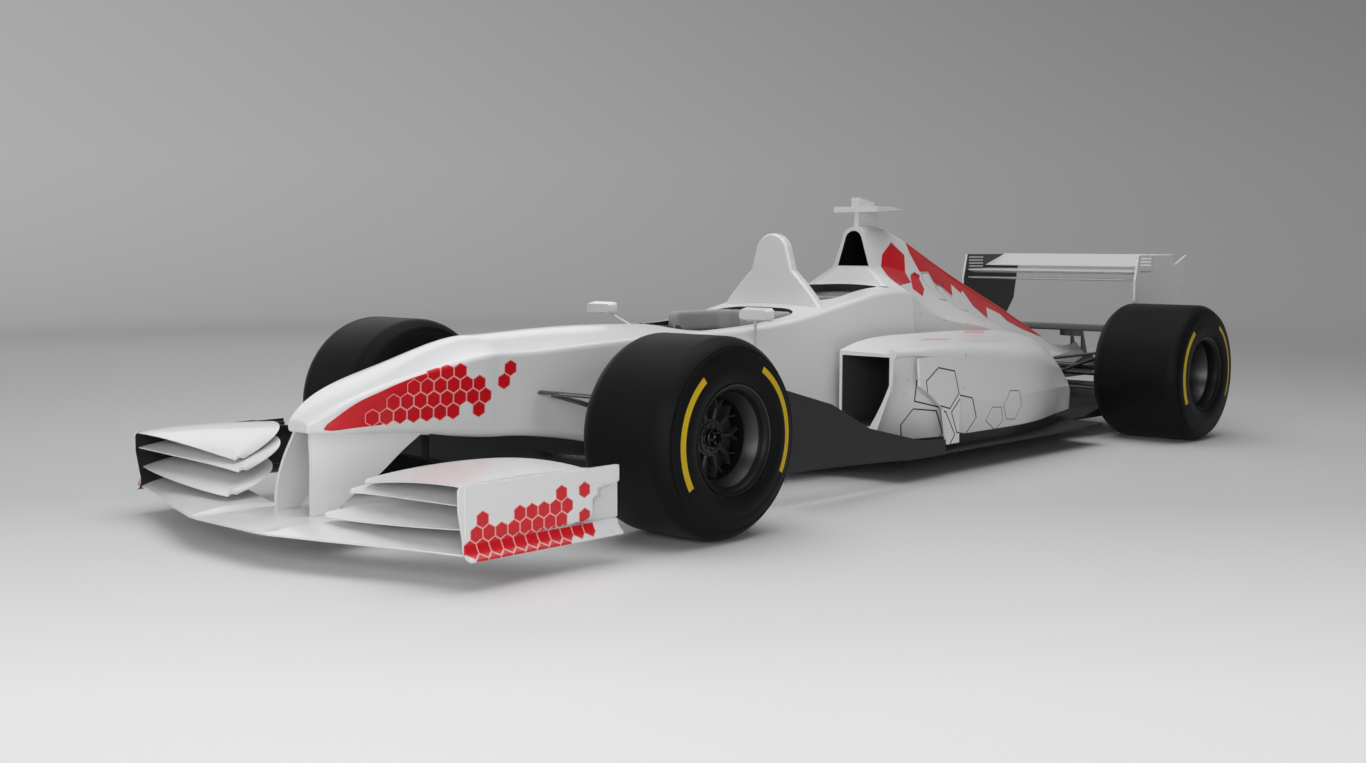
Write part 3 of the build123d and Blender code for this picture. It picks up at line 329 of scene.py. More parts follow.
# Cockpit mouths, whose walls and floors are bare dark composite
MOUTH_HALF = 0.225
MOUTH_CORNER = 0.110
MOUTHS = ((0.600, 1.330), (1.480, 1.930))


def mouth_walls(x, y):
    found = []
    for start, end in MOUTHS:
        over_x = abs(x) - (MOUTH_HALF - MOUTH_CORNER)
        over_y = abs(y - at((start + end) / 2)) - ((end - start) / 2 - MOUTH_CORNER)
        corner = over_x.most(0) * over_x.most(0) + over_y.most(0) * over_y.most(0)
        far = corner.math("SQRT") + over_x.most(over_y).least(0)
        found.append(far < MOUTH_CORNER + 0.0015)
    return any_of(found)


# Nose and tub patch: a red blade from the nose tip that breaks up into honeycomb over the front axle
HEX_WIDTH = 0.0513
NOSE_HEX_ORIGIN = (-0.787, 0.405)
NOSE_HEX_ROWS = ((0, 0, 6), (0, 8, 8), (1, 1, 8), (2, 3, 8), (2, 10, 10), (3, 4, 6), (3, 10, 10))
# Half width of the bare strip along the top
NOSE_STRIP = 0.06
# Edges of the blade as (station, height)
BLADE_TOP = (
    (-0.942, 0.376), (-0.936, 0.388), (-0.922, 0.402), (-0.910, 0.411), (-0.879, 0.434), (-0.831, 0.461),
    (-0.760, 0.487), (-0.685, 0.512), (-0.552, 0.545),
)
BLADE_BASE = ((-0.942, 0.376), (-0.925, 0.372), (-0.900, 0.372), (-0.850, 0.376), (-0.552, 0.379))


def nose_livery(tree, x, y, z):
    u, v = y - at(NOSE_HEX_ORIGIN[0]), z - NOSE_HEX_ORIGIN[1]
    fill, rim = hexagons(u, v, HEX_WIDTH, NOSE_HEX_ROWS)
    s = y - at(0)
    upper = profile_line(tree, s, BLADE_TOP, "AUTO")
    lower = profile_line(tree, s, BLADE_BASE, "AUTO")
    blade = (z < upper) * (z > lower) * (s < -0.545 - (0.545 - z).most(0) * 1.25) * (s > BLADE_TOP[0][0])
    nx, ny, nz = facing(tree)
    side = (abs(x) > NOSE_STRIP) * (nz < 0.72)
    return [(blade * (abs(x) > NOSE_STRIP), RED), (fill * side, RED), (rim * side, PALE_RED)]


def tub_livery(tree, x, y, z):
    nx, ny, nz = facing(tree)
    hollow = (x * nx < -0.02).most(mouth_walls(x, y) * (z > 0.115))
    return [*nose_livery(tree, x, y, z), (hollow, BLACK)]


nose_paint = gloss_paint("nose_paint", nose_livery)
body_paint = gloss_paint("body_paint", tub_livery)
white_paint = gloss_paint("white_paint")

# Front endplate honeycomb, which runs down the plate and out over the footplate
PLATE_HEX_WIDTH = 0.0455
PLATE_HEX_ORIGIN = (-1.006, 0.157)
PLATE_HEX_ROWS = (
    (2, 7, 7), (2, 9, 9), (1, 0, 0), (1, 3, 7), (0, 0, 7), (0, 9, 9), (-1, -1, 9), (-2, 0, 7),
)
PLATE_OUTER = 0.8955


def plate_livery(tree, x, y, z):
    u, v = y - at(PLATE_HEX_ORIGIN[0]), z - PLATE_HEX_ORIGIN[1]
    fill, rim = hexagons(u, v, PLATE_HEX_WIDTH, PLATE_HEX_ROWS)
    nx, ny, nz = facing(tree)
    side = abs(x) > PLATE_OUTER
    return [(fill * side, RED), (rim * side, PALE_RED), (x * nx < -0.3, BLACK)]


plate_paint = gloss_paint("plate_paint", plate_livery)


# Engine cover: angular cells behind the airbox and a band along the spine with a stepped lower edge.
# Outlines are (station, height).
BAND_EDGE = (
    (2.366, 0.923), (2.393, 0.836), (2.493, 0.835), (2.503, 0.780), (2.563, 0.768), (2.651, 0.715),
    (2.727, 0.772), (2.799, 0.725), (2.845, 0.738), (2.872, 0.660), (2.984, 0.596), (3.062, 0.649),
    (3.214, 0.609), (3.262, 0.572), (3.454, 0.517), (3.700, 0.470),
)
COVER_CELLS = (
    ((2.207, 0.976), (2.092, 0.920), (1.985, 0.778), (2.215, 0.790), (2.298, 0.916)),
    ((2.336, 0.837), (2.266, 0.817), (2.173, 0.763), (2.216, 0.728), (2.310, 0.760), (2.379, 0.822)),
)
COVER_LINES = (
    ((2.402, 0.832), (2.486, 0.832), (2.500, 0.776), (2.474, 0.700), (2.396, 0.708), (2.384, 0.784)),
    ((2.512, 0.776), (2.566, 0.764), (2.650, 0.690), (2.660, 0.640), (2.560, 0.655), (2.500, 0.700)),
    ((2.500, 0.900), (2.600, 0.862), (2.640, 0.790), (2.590, 0.760), (2.520, 0.800)),
)
POD_LINES = (
    ((1.540, 0.410), (1.631, 0.463), (1.758, 0.441), (1.796, 0.342), (1.725, 0.280), (1.560, 0.318)),
    ((1.522, 0.222), (1.565, 0.291), (1.693, 0.276), (1.769, 0.170), (1.720, 0.120), (1.560, 0.130)),
    ((1.817, 0.335), (1.905, 0.317), (1.980, 0.224), (1.930, 0.150), (1.778, 0.175), (1.733, 0.268)),
    ((2.182, 0.263), (2.222, 0.325), (2.304, 0.319), (2.352, 0.252), (2.319, 0.185), (2.237, 0.192)),
    ((2.060, 0.200), (2.087, 0.262), (2.169, 0.255), (2.212, 0.190), (2.160, 0.150)),
)
TOP_PATCHES = (
    ((0.440, 2.240), (0.330, 2.420), (0.320, 2.640), (0.445, 2.400)),
    ((0.560, 1.700), (0.520, 1.800), (0.545, 1.960), (0.585, 1.900)),
)


def outlines(u, v, cells, width=0.0035):
    return any_of([inside(u, v, corners).between(0, width) for corners in cells])


def top_patches(x, y, nz):
    return any_of([inside(abs(x), y - at(0), corners) > 0 for corners in TOP_PATCHES]) * (nz > 0.5)


def cover_livery(tree, x, y, z):
    s = y - at(0)
    nx, ny, nz = facing(tree)
    band = (z > profile_line(tree, s, BAND_EDGE)) * s.between(BAND_EDGE[0][0], BAND_EDGE[-1][0])
    cells = any_of([inside(s, z, corners) > 0 for corners in COVER_CELLS]) * (s > 2.0)
    # Painted shade: black on the walls, sill and shadowed rear of the airbox mouth. The inside of the shell
    # is black too
    mouth = s.between(1.995, 2.26) * (abs(x) < 0.0885) * (z > 0.86) * (x * nx < -0.004)
    throat = s.between(2.0, 2.26) * (abs(x) < 0.09) * (z > 0.84) * (abs(ny) > 0.9)
    sill = s.between(1.995, 2.26) * (abs(x) < 0.088) * z.between(0.86, 0.90) * (nz > 0.9)
    hollow = any_of((mouth, throat, sill, x * nx < -0.02))
    return [
        (band, RED), (cells, RED), (top_patches(x, y, nz) * 0.8, PALE_RED),
        (outlines(s, z, COVER_LINES), BLACK), (hollow, BLACK),
    ]


# The radiator duct's stations, heights and half width
DUCT_SPAN, DUCT_HEIGHTS, DUCT_HALF = (1.372, 1.73), (0.215, 0.515), 0.642


def pod_livery(tree, x, y, z):
    s = y - at(0)
    nx, ny, nz = facing(tree)
    # The radiator inlet: painted shade, dark on its walls that face the middle of the duct, its roof and
    # floor, and its end
    duct = s.between(*DUCT_SPAN) * z.between(*DUCT_HEIGHTS) * (abs(x) < DUCT_HALF)
    inlet_shade = duct * any_of((
        x * nx < -0.05, (nz < -0.5) * (z > 0.49), (nz > 0.5) * (z < 0.24), (ny < -0.9) * (s > 1.66),
        (abs(x) < 0.42) * (x * nx > 0.2),
    ))
    lines = outlines(s, z, POD_LINES[:3], 0.0060).most(outlines(s, z, POD_LINES[3:], 0.0035))
    return [(top_patches(x, y, nz) * 0.8, PALE_RED), (lines * (x * nx > 0.1), BLACK), (inlet_shade, INLET_SHADE)]


def fin_livery(tree, x, y, z):
    nx, ny, nz = facing(tree)
    return [(x * nx < -0.3, BLACK)]


cover_paint = gloss_paint("cover_paint", cover_livery)
pod_paint = gloss_paint("pod_paint", pod_livery)
fin_paint = gloss_paint("fin_paint", fin_livery)
dark_carbon = carbon("dark_carbon", 0.016, 0.50, coat=0.12)
gloss_carbon = carbon("gloss_carbon", 0.014, 0.22, coat=0.8)
drum_finish = plain("drum_finish", (0.02, 0.02, 0.021), 0.5)
cast_alloy = plain("cast_alloy", (0.10, 0.10, 0.105), 0.5, 0.6)
rim_black = plain("rim_black", (0.006, 0.006, 0.0065), 0.42, grain=20, strength=0.05, shine=0.2)
rim_turned = plain("rim_turned", (0.075, 0.075, 0.078), 0.36, 0.9, grain=30, strength=0.05)
rim_spoke = plain("rim_spoke", (0.060, 0.060, 0.062), 0.36, 0.6, grain=30, strength=0.08)
nut_metal = plain("nut_metal", (0.05, 0.05, 0.052), 0.35, 0.9, grain=40)
seat_shell = carbon("seat_shell", 0.02, 0.5)
grip_rubber = plain("grip_rubber", (0.02, 0.02, 0.02), 0.8, grain=160, strength=0.5)
knob_alloy = plain("knob_alloy", (0.55, 0.55, 0.57), 0.35, 0.8, grain=50)
mirror_glass = plain("mirror_glass", (0.78, 0.80, 0.83), 0.09, 1.0, grain=6, strength=0.02, vary=0.03)
screen_glass = plain("screen_glass", (0.010, 0.012, 0.014), 0.12, grain=6, strength=0.02, coat=0.8)
lens_red = plain("lens_red", (0.42, 0.010, 0.012), 0.18, grain=30, strength=0.1, coat=0.6)
screw_paint = plain("screw_paint", (0.60, 0.60, 0.61), 0.35, 0.2, grain=120)


def woven(name, colour, weave, rough=0.8):
    """Tight cloth: crossed threads in tone and height, and a soft sheen."""
    material, tree, shader = new_material(
        name, Sheen_Weight=0.25, Sheen_Roughness=0.5, Specular_IOR_Level=0.3,
    )
    x, y, z = coordinates(tree)
    threads = (x * (math.pi / weave)).math("SINE") * ((y + z) * (math.pi / weave)).math("SINE")
    patchy = noise(tree, 9, 4)
    tone = mix(tree, threads * 0.25 + patchy * 0.5 + 0.12, toned(colour, 0.78), toned(colour, 1.15))
    tree.links.new(tone, shader.inputs["Base Color"])
    tree.links.new((patchy * 0.12 + (rough - 0.06)).socket, shader.inputs["Roughness"])
    bump(tree, shader, threads, 0.35, 0.0004)
    return material


pad_cloth = woven("pad_cloth", (0.40, 0.40, 0.41), 0.003)
seat_cloth = woven("seat_cloth", (0.045, 0.045, 0.048), 0.003)

# CAD nodes that keep their shape and get a finish
NODE_FINISHES = {
    body_paint: ("tub",),
    nose_paint: ("nose_cone",),
    plate_paint: ("front_endplate_left", "front_endplate_right"),
    pod_paint: ("sidepod_left", "sidepod_right"),
    fin_paint: ("rear_endplate_left", "rear_endplate_right"),
    white_paint: (
        "front_wing", "front_flaps_left", "front_flaps_right", "roll_hoop", "mirror_left", "mirror_right",
        "camera_pod", "rear_wing",
    ),
    cover_paint: ("engine_cover",),
    dark_carbon: ("floor", "bargeboard_left", "bargeboard_right", "diffuser", "keel"),
    gloss_carbon: (
        "front_arms_left", "front_arms_right", "rear_arms_left", "rear_arms_right", "beam_wing",
        "half_shaft_left", "half_shaft_right",
    ),
    drum_finish: ("front_upright_left", "front_upright_right", "rear_upright_left", "rear_upright_right"),
    cast_alloy: ("engine", "gearbox"),
}
for finish, nodes in NODE_FINISHES.items():
    for node in nodes:
        for slot in frame["nodes"][node].material_slots:
            slot.material = finish


SOFT_EDGE_ANGLE = 40


def build(name, mesh_maker, node, material, place=None, smooth=30, slot=None, soften=0, divide=0):
    """New piece from a function that fills a bmesh. It rides with a CAD node, or replaces it where a
    slot is given."""
    mesh = bpy.data.meshes.new(name)
    bm = bmesh.new()
    mesh_maker(bm)
    bmesh.ops.recalc_face_normals(bm, faces=bm.faces)
    bm.to_mesh(mesh)
    bm.free()
    mesh.polygons.foreach_set("use_smooth", [True] * len(mesh.polygons))
    mesh.set_sharp_from_angle(angle=math.radians(smooth))
    o = bpy.data.objects.new(name, mesh)
    bpy.context.scene.collection.objects.link(o)
    if place is not None:
        o.matrix_world = place
    for finish in material if isinstance(material, (list, tuple)) else (material,):
        mesh.materials.append(finish)
    if soften:
        edge = o.modifiers.new("soft_edge", "BEVEL")
        edge.width = soften
        edge.segments = 2
        edge.limit_method = "ANGLE"
        edge.angle_limit = math.radians(SOFT_EDGE_ANGLE)
    if divide:
        o.modifiers.new("divide", "SUBSURF").levels = divide
        o.modifiers["divide"].render_levels = divide
    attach(o, BODIES[node])
    if slot:
        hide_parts(node)
    return o


def circle(radius, sides):
    """Places round a circle."""
    turns = [2 * math.pi * side / sides for side in range(sides)]
    return [(radius * math.cos(turn), radius * math.sin(turn)) for turn in turns]


def loft(bm, rings, material=0, closed=True, loop=False, caps=(False, False)):
    """Faces between neighbouring rings of places. closed joins each ring's end to its start, loop joins
    the last ring to the first, and caps cover the first and the last ring."""
    rows = [[bm.verts.new(spot) for spot in ring] for ring in rings]
    faces = []
    for near, far in zip(rows, rows[1:] + rows[:1] if loop else rows[1:]):
        for index in range(len(near) if closed else len(near) - 1):
            after = (index + 1) % len(near)
            faces.append(bm.faces.new((near[index], near[after], far[after], far[index])))
    faces += [bm.faces.new(rows[end]) for end, capped in zip((0, -1), caps) if capped]
    for face in faces:
        face.material_index = material
    return rows


def turned(bm, profile, steps, material=0, loop=False):
    """Profile of (along X, radius) turned about X."""
    loft(bm, [[(x, *spot) for spot in circle(r, steps)] for x, r in profile], material, loop=loop)


def slab(bm, top, under):
    """Two layers of places in rows, joined round their edges."""
    upper, lower = [loft(bm, layer, closed=False) for layer in (top, under)]
    end, side = len(top) - 1, len(top[0]) - 1
    rim = [(0, c) for c in range(side)] + [(r, side) for r in range(end)]
    rim += [(end, c) for c in range(side, 0, -1)] + [(r, 0) for r in range(end, 0, -1)]
    for (a, b), (c, d) in zip(rim, rim[1:] + rim[:1]):
        bm.faces.new((upper[a][b], upper[c][d], lower[c][d], lower[a][b]))


def arc_points(centre, radius, start, end, count):
    """Points along an arc, angles in degrees."""
    turns = [math.radians(start + (end - start) * i / count) for i in range(count + 1)]
    return [(centre[0] + radius * math.cos(turn), centre[1] + radius * math.sin(turn)) for turn in turns]


def rounded(half_u, half_v, corner, runs=1):
    """Outline of a rounded rectangle, with each straight side in as many runs as asked."""
    u, v = half_u - corner, half_v - corner
    corners = ((u, v, 0), (-u, v, 90), (-u, -v, 180), (u, -v, 270))
    arcs = [arc_points((cu, cv), corner, start, start + 90, 6) for cu, cv, start in corners]
    outline = []
    for arc, following in zip(arcs, arcs[1:] + arcs[:1]):
        (u0, v0), (u1, v1) = arc[-1], following[0]
        outline += arc + [(u0 + (u1 - u0) * t / runs, v0 + (v1 - v0) * t / runs) for t in range(1, runs)]
    return outline


# Tyres: slick, with rounded shoulders, a bulged sidewall, a bead step and two yellow arcs on the outside
ARC_INNER, ARC_OUTER = 0.246, 0.268
ARC_SPANS = ((127, 212), (-29, 60))


def tyre_rubber(name, outward):
    material, tree, shader = new_material(
        name, Sheen_Weight=0.05, Sheen_Roughness=0.4, Specular_IOR_Level=0.10,
    )
    x, y, z = coordinates(tree)
    radius = (y * y + z * z).math("SQRT")
    angle = z.math("ARCTAN2", y) * (180 / math.pi)
    arcs = []
    for start, end in ARC_SPANS:
        away = angle - (start + end) / 2
        arcs.append(abs(away - (away / 360 + 0.5).floor() * 360) < (end - start) / 2)
    band = radius.between(ARC_INNER, ARC_OUTER) * any_of(arcs) * (x * outward > 0.05)
    patchy = noise(tree, 9, 5)
    rubber = mix(tree, patchy, (0.0034, 0.0034, 0.0036), (0.0075, 0.0075, 0.0080))
    worn = mix(tree, noise(tree, 60, 3), YELLOW, toned(YELLOW, 0.86))
    tree.links.new(mix(tree, band, rubber, worn), shader.inputs["Base Color"])
    tree.links.new((patchy * 0.16 + 0.42).socket, shader.inputs["Roughness"])
    grain = noise(tree, 700, 2) + (radius * 900).math("SINE") * 0.4 * (radius < 0.325)
    bump(tree, shader, grain, 0.12, 0.0004)
    return material


TYRE_STEPS = 128
# A moulded rib round the shoulder, as (degrees from the sidewall, height)
RIB_PLACE = 33
RIB = ((-3.0, 0), (-2.2, 0.0028), (0.4, 0.0032), (1.4, 0.0004), (2.4, -0.0016), (4.2, -0.0012), (5.6, 0))


def tyre_profile(half, shoulder, bulge):
    """Half of the section, from the bead out and over to the middle of the tread: (x, radius)."""
    bead = half - 0.0225
    seat = RIM_RADIUS - 0.0165
    side = [(bead, seat), (bead, RIM_RADIUS - 0.004), (bead + 0.004, RIM_RADIUS + 0.002)]
    side += [(bead + 0.010, RIM_RADIUS + 0.004), (bead + 0.012, RIM_RADIUS + 0.010)]
    side += [(half - 0.006, RIM_RADIUS + 0.016)]
    low, high = RIM_RADIUS + 0.022, TYRE_RADIUS - shoulder
    for i in range(7):
        t = i / 6
        side.append((half - bulge * (2 * t - 1) ** 2, low + (high - low) * t))
    plain_turns = [90 * step / 24 for step in range(1, 25)]
    turns = [(turn, 0) for turn in plain_turns if not RIB[0][0] <= turn - RIB_PLACE <= RIB[-1][0]]
    turns += [(RIB_PLACE + away, proud) for away, proud in RIB]
    for turn, proud in sorted(turns):
        c, s = math.cos(math.radians(turn)), math.sin(math.radians(turn))
        x = half - shoulder + shoulder * c - bulge * (1 - s)
        side.append((x + proud * c, high + shoulder * s + proud * s))
    return side


def make_tyre(node, shoulder, bulge, outward):
    low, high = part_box(node)
    half = (high.x - low.x) / 2
    side = tyre_profile(half, shoulder, bulge)
    profile = side + [(-x, r) for x, r in reversed(side)]
    build(
        node + "_slick", lambda bm: turned(bm, profile, TYRE_STEPS, loop=True), node, TYRE_RUBBER[outward],
        Matrix.Translation(box_centre(node)), slot="tyre",
    )


TYRE_RUBBER = {1: tyre_rubber("rubber_left", 1), -1: tyre_rubber("rubber_right", -1)}
for side, outward in SIDES:
    make_tyre("front_tyre_" + side, 0.082, 0.004, outward)
    make_tyre("rear_tyre_" + side, 0.066, 0.004, outward)

# Rims: a forged barrel with a turned cone, ten forked spokes, a stepped hub and a castellated centre nut
SPOKES = 10
SPOKE_SPREAD = 9.0
BARREL_RADIUS = 0.157
CONE_RADIUS = 0.137
HUB_RADIUS = 0.060
RIM_STEPS = 96
# Centre nut as (how far it stands off the spoke face, radius), and the places of it that the notches cut
NUT_PROFILE = (
    (-0.002, 0.031), (0.016, 0.031), (0.018, 0.0285), (0.034, 0.0245), (0.036, 0.0225), (0.036, 0.0160),
    (0.020, 0.0150), (0.010, 0.0130), (0.010, 0.0020),
)
NUT_NOTCHED = (3, 4, 5)
NOTCH_DEPTH = 0.007


def polar(radius, degrees):
    return Vector((radius * math.cos(math.radians(degrees)), radius * math.sin(math.radians(degrees))))


def beam(bm, start, end, start_width, end_width, face, depth, out, material=0):
    """Straight spoke with chamfered front edges between two places in the wheel's plane."""
    along = (end - start).normalized()
    across = Vector((-along.y, along.x))
    rings = []
    for place, width in ((start, start_width), (end, end_width)):
        half = width / 2
        section = (
            (-0.55 * half, face), (0.55 * half, face), (half, face + 0.004), (0.9 * half, face + depth),
            (-0.9 * half, face + depth), (-half, face + 0.004),
        )
        rings.append([(-u * out, *(place + across * off)) for off, u in section])
    loft(bm, rings, material, caps=(True, True))


def make_rim(node, inset):
    """Drawn with its outer flange face at x = 0; u counts inwards from it."""
    low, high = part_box(node)
    out = 1 if high.x > 0 else -1
    wide = high.x - low.x
    place = Matrix.Translation((out * max(high.x, -low.x), *box_centre(node).yz))
    cone_start, cone_end = inset * 0.30, inset * 0.72
    flange, seat = RIM_RADIUS, RIM_RADIUS - 0.017
    tyre_side = [
        (0.0015, flange - 0.004), (0.0, flange - 0.001), (0.002, flange), (0.008, flange),
        (0.010, flange - 0.003), (0.010, seat), (0.030, seat - 0.001), (0.042, seat - 0.004),
        (wide - 0.03, seat - 0.001), (wide - 0.010, seat), (wide - 0.010, flange - 0.003),
        (wide - 0.008, flange), (wide, flange),
        (wide, BARREL_RADIUS), (inset + 0.055, BARREL_RADIUS - 0.001), (inset + 0.045, BARREL_RADIUS - 0.009),
        (inset + 0.020, CONE_RADIUS), (cone_end + 0.004, CONE_RADIUS - 0.0025),
        (cone_end + 0.001, CONE_RADIUS - 0.0015), (cone_end, CONE_RADIUS),
    ]
    cone = [(cone_end, CONE_RADIUS), (cone_start, BARREL_RADIUS - 0.0015)]
    lip = [
        (cone_start, BARREL_RADIUS - 0.0015), (cone_start - 0.003, BARREL_RADIUS + 0.001),
        (0.018, BARREL_RADIUS + 0.003), (0.010, BARREL_RADIUS + 0.007), (0.005, BARREL_RADIUS + 0.014),
        (0.0015, flange - 0.004),
    ]
    hub = [
        (inset + 0.028, HUB_RADIUS + 0.003), (inset + 0.002, HUB_RADIUS + 0.003), (inset, HUB_RADIUS),
        (inset, 0.0545), (inset - 0.005, 0.053), (inset - 0.006, 0.051), (inset - 0.006, 0.047),
        (inset - 0.002, 0.0455), (inset - 0.002, 0.036), (inset - 0.004, 0.0345), (inset - 0.004, 0.020),
        (inset + 0.028, 0.020),
    ]

    def shape(bm):
        def sweep(profile, material, steps=RIM_STEPS, closed=False):
            turned(bm, [(-u * out, r) for u, r in profile], steps, material, closed)

        sweep(tyre_side[:3], 1)
        sweep(tyre_side[2:], 0)
        sweep(cone, 1)
        sweep(lip, 0)
        bmesh.ops.remove_doubles(bm, verts=bm.verts, dist=0.00002)
        sweep(hub, 3, 72, True)
        fork = HUB_RADIUS + (BARREL_RADIUS - HUB_RADIUS) * 0.45
        for number in range(SPOKES):
            turn = 360 * number / SPOKES
            start, end = polar(HUB_RADIUS - 0.004, turn), polar(fork + 0.002, turn)
            beam(bm, start, end, 0.0150, 0.0115, inset, 0.025, out, 3)
            for lean in (-SPOKE_SPREAD, SPOKE_SPREAD):
                start, end = polar(fork - 0.003, turn), polar(CONE_RADIUS + 0.004, turn + lean)
                beam(bm, start, end, 0.0085, 0.0075, inset - 0.002, 0.024, out, 3)
            # Drive pins round the hub
            pin = polar(0.0405, turn + 18)
            loft(bm, [
                [(-u * out, *(Vector(spot) + pin)) for spot in circle(r, 8)]
                for r, u in ((0.0042, inset - 0.002), (0.0042, inset - 0.006), (0.0030, inset - 0.0075))
            ], 2, caps=(False, True))
        # Centre nut, open to the outside, with notches for the wheel gun
        rings = []
        for index, (rise, r) in enumerate(NUT_PROFILE):
            sunk = NOTCH_DEPTH if index in NUT_NOTCHED else 0
            rings.append([
                (-(inset - rise + sunk * (step % 8 < 3)) * out, *spot)
                for step, spot in enumerate(circle(r, 48))
            ])
        loft(bm, rings, 2, caps=(False, True))

    build(node + "_forged", shape, node, (rim_black, rim_turned, nut_metal, rim_spoke), place, slot="rim")


# How deep each rim's spoke face lies behind its outer flange
FRONT_INSET, REAR_INSET = 0.105, 0.190
for side, sign in SIDES:
    make_rim("front_rim_" + side, FRONT_INSET)
    make_rim("rear_rim_" + side, REAR_INSET)


# Soft pieces: a closed skin swept along a line, crowned between its seams
def swept_pad(bm, spots, half_width, half_height, power, seams=(), welts=(), end_length=0.03, around=40):
    """spots are (place, side, up) frames along the pad; the section is a rounded rectangle. seams are
    lengths along it that are drawn in, and welts are angles round the section that stand proud."""
    lengths = [0.0]
    for (a, _, _), (b, _, _) in zip(spots, spots[1:]):
        lengths.append(lengths[-1] + (b - a).length)
    total = lengths[-1]
    rings = []
    for (place, side, up), run in zip(spots, lengths):
        end = min(run, total - run)
        closing = max(end_length - end, 0) / end_length
        swell = math.sqrt(max(1 - closing ** 2, 0.0025))
        for seam in seams:
            swell *= 1 - 0.045 * math.exp(-(((run - seam * total) / 0.0045) ** 2))
        ring = []
        for step in range(around):
            angle = 2 * math.pi * step / around
            c, s = math.cos(angle), math.sin(angle)
            a = math.copysign(abs(c) ** power, c) * half_width
            b = math.copysign(abs(s) ** power, s) * half_height
            grow = swell
            for welt in welts:
                away = (math.degrees(angle) - welt + 180) % 360 - 180
                grow *= 1 + 0.018 * math.exp(-((away / 3.5) ** 2))
            ring.append(place + side * (a * grow) + up * (b * grow))
        rings.append(ring)
    loft(bm, rings, caps=(True, True))


def make_headrest(node):
    """A padded collar round the back of a cockpit mouth."""
    low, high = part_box(node)
    thick, tall = 0.060, high.z - low.z
    radius = MOUTH_CORNER - thick / 2
    half = high.x - thick / 2 - 0.001
    back = high.y - thick / 2 - 0.001
    middle = (low.z + high.z) / 2
    line = []
    front = low.y + 0.004
    for step in range(41):
        line.append((-half, front + (back - radius - front) * step / 40, -1.0, 0.0))
    for step in range(1, 15):
        turn = math.radians(180 - 90 * step / 14)
        c, s = math.cos(turn), math.sin(turn)
        line.append((-half + radius + radius * c, back - radius + radius * s, c, s))
    for step in range(1, 9):
        line.append((-half + radius + (half - radius) * step / 8, back, 0.0, 1.0))
    line += [(-x, y, -out_x, out_y) for x, y, out_x, out_y in reversed(line[:-1])]
    spots = [(Vector((x, y, middle)), Vector((a, b, 0)), Vector((0, 0, 1))) for x, y, a, b in line]

    def shape(bm):
        swept_pad(bm, spots, thick / 2 - 0.0015, tall / 2 - 0.0015, 0.42, (0.16, 0.36, 0.64, 0.84), (52, 128))

    pad = build(node + "_pad", shape, node, pad_cloth, smooth=60, slot="headrest_pad", divide=1)


make_headrest("headrest_front")
make_headrest("headrest_rear")


def seat_line(low, high):
    """The seat's bent line in the plane of symmetry: places with the direction out of the pad."""
    start, pan_rise, pan_back = low.y, 0.233, 0.197
    bend = start + 0.270
    top_y, top_z = high.y - 0.060, high.z
    corner = 0.050
    pan = Vector((0, bend - start, pan_back - pan_rise)).normalized()
    rise = Vector((0, top_y - bend, top_z - pan_back)).normalized()
    knee = Vector((0, bend, pan_back))
    first, last = Vector((0, start, pan_rise)), Vector((0, top_y, top_z))
    line = [first + (knee - pan * corner - first) * (step / 24) for step in range(25)]
    bend_start, bend_end = knee - pan * corner, knee + rise * corner
    for step in range(1, 12):
        t = step / 12
        line.append(bend_start * (1 - t) ** 2 + knee * (2 * t * (1 - t)) + bend_end * t ** 2)
    line += [bend_end + (last - bend_end) * (step / 30) for step in range(31)]
    spots = []
    for index, place in enumerate(line):
        before, after = line[max(index - 1, 0)], line[min(index + 1, len(line) - 1)]
        way = (after - before).normalized()
        spots.append((place, Vector((0, -way.z, way.y))))
    return spots


def make_seat(node):
    low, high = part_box(node)
    spots = seat_line(low, high)
    half = high.x - 0.002

    def shell(bm):
        """Bucket whose sides rise round the occupant."""
        columns = 29
        top = []
        for place, out in spots:
            row = []
            for column in range(columns):
                across = 2 * column / (columns - 1) - 1
                lift = 0.050 * max(abs(across) - 0.62, 0) / 0.38
                row.append(place + Vector((half * across, 0, 0)) + out * (lift - 0.010))
            top.append(row)
        slab(bm, top, [[spot - out * 0.006 for spot in row] for row, (place, out) in zip(top, spots)])

    build(node + "_bucket", shell, node, seat_shell, smooth=40, slot="seat_shell")

    def cushion(bm, first, last, wide, thick):
        part = spots[first:last]
        columns = 37
        layers = ([], [])
        for index, (place, out) in enumerate(part):
            v = 2 * index / (len(part) - 1) - 1
            pinch = 1 - 0.06 * v * v
            for layer, sign in zip(layers, (1, 0)):
                row = []
                for column in range(columns):
                    u = 2 * column / (columns - 1) - 1
                    edge = max(1 - abs(u) ** 6, 0) ** 0.5 * max(1 - abs(v) ** 8, 0) ** 0.5
                    crown = thick * (0.45 + 0.55 * (1 - 0.35 * u * u - 0.25 * v * v)) * edge
                    for channel in (-0.48, 0.48):
                        crown -= 0.007 * edge * math.exp(-(((u - channel) / 0.028) ** 2))
                    for channel in (-0.33, 0.33):
                        crown -= 0.005 * edge * math.exp(-(((v - channel) / 0.05) ** 2)) * (abs(u) < 0.47)
                    height = crown if sign else -0.004 * edge
                    row.append(place + Vector((wide * u * pinch, 0, 0)) + out * (height - 0.004))
                layer.append(row)
        for layer in layers:
            loft(bm, layer, closed=False)
        bmesh.ops.remove_doubles(bm, verts=bm.verts, dist=0.0001)

    for part, first, last in (("base", 2, 24), ("back", 38, 64)):
        pad = build(
            node + "_" + part + "_pad", lambda bm: cushion(bm, first, last, 0.118, 0.026), node, seat_cloth,
            smooth=60, slot="headrest_pad", divide=1,
        )


make_seat("seat_front")
make_seat("seat_rear")


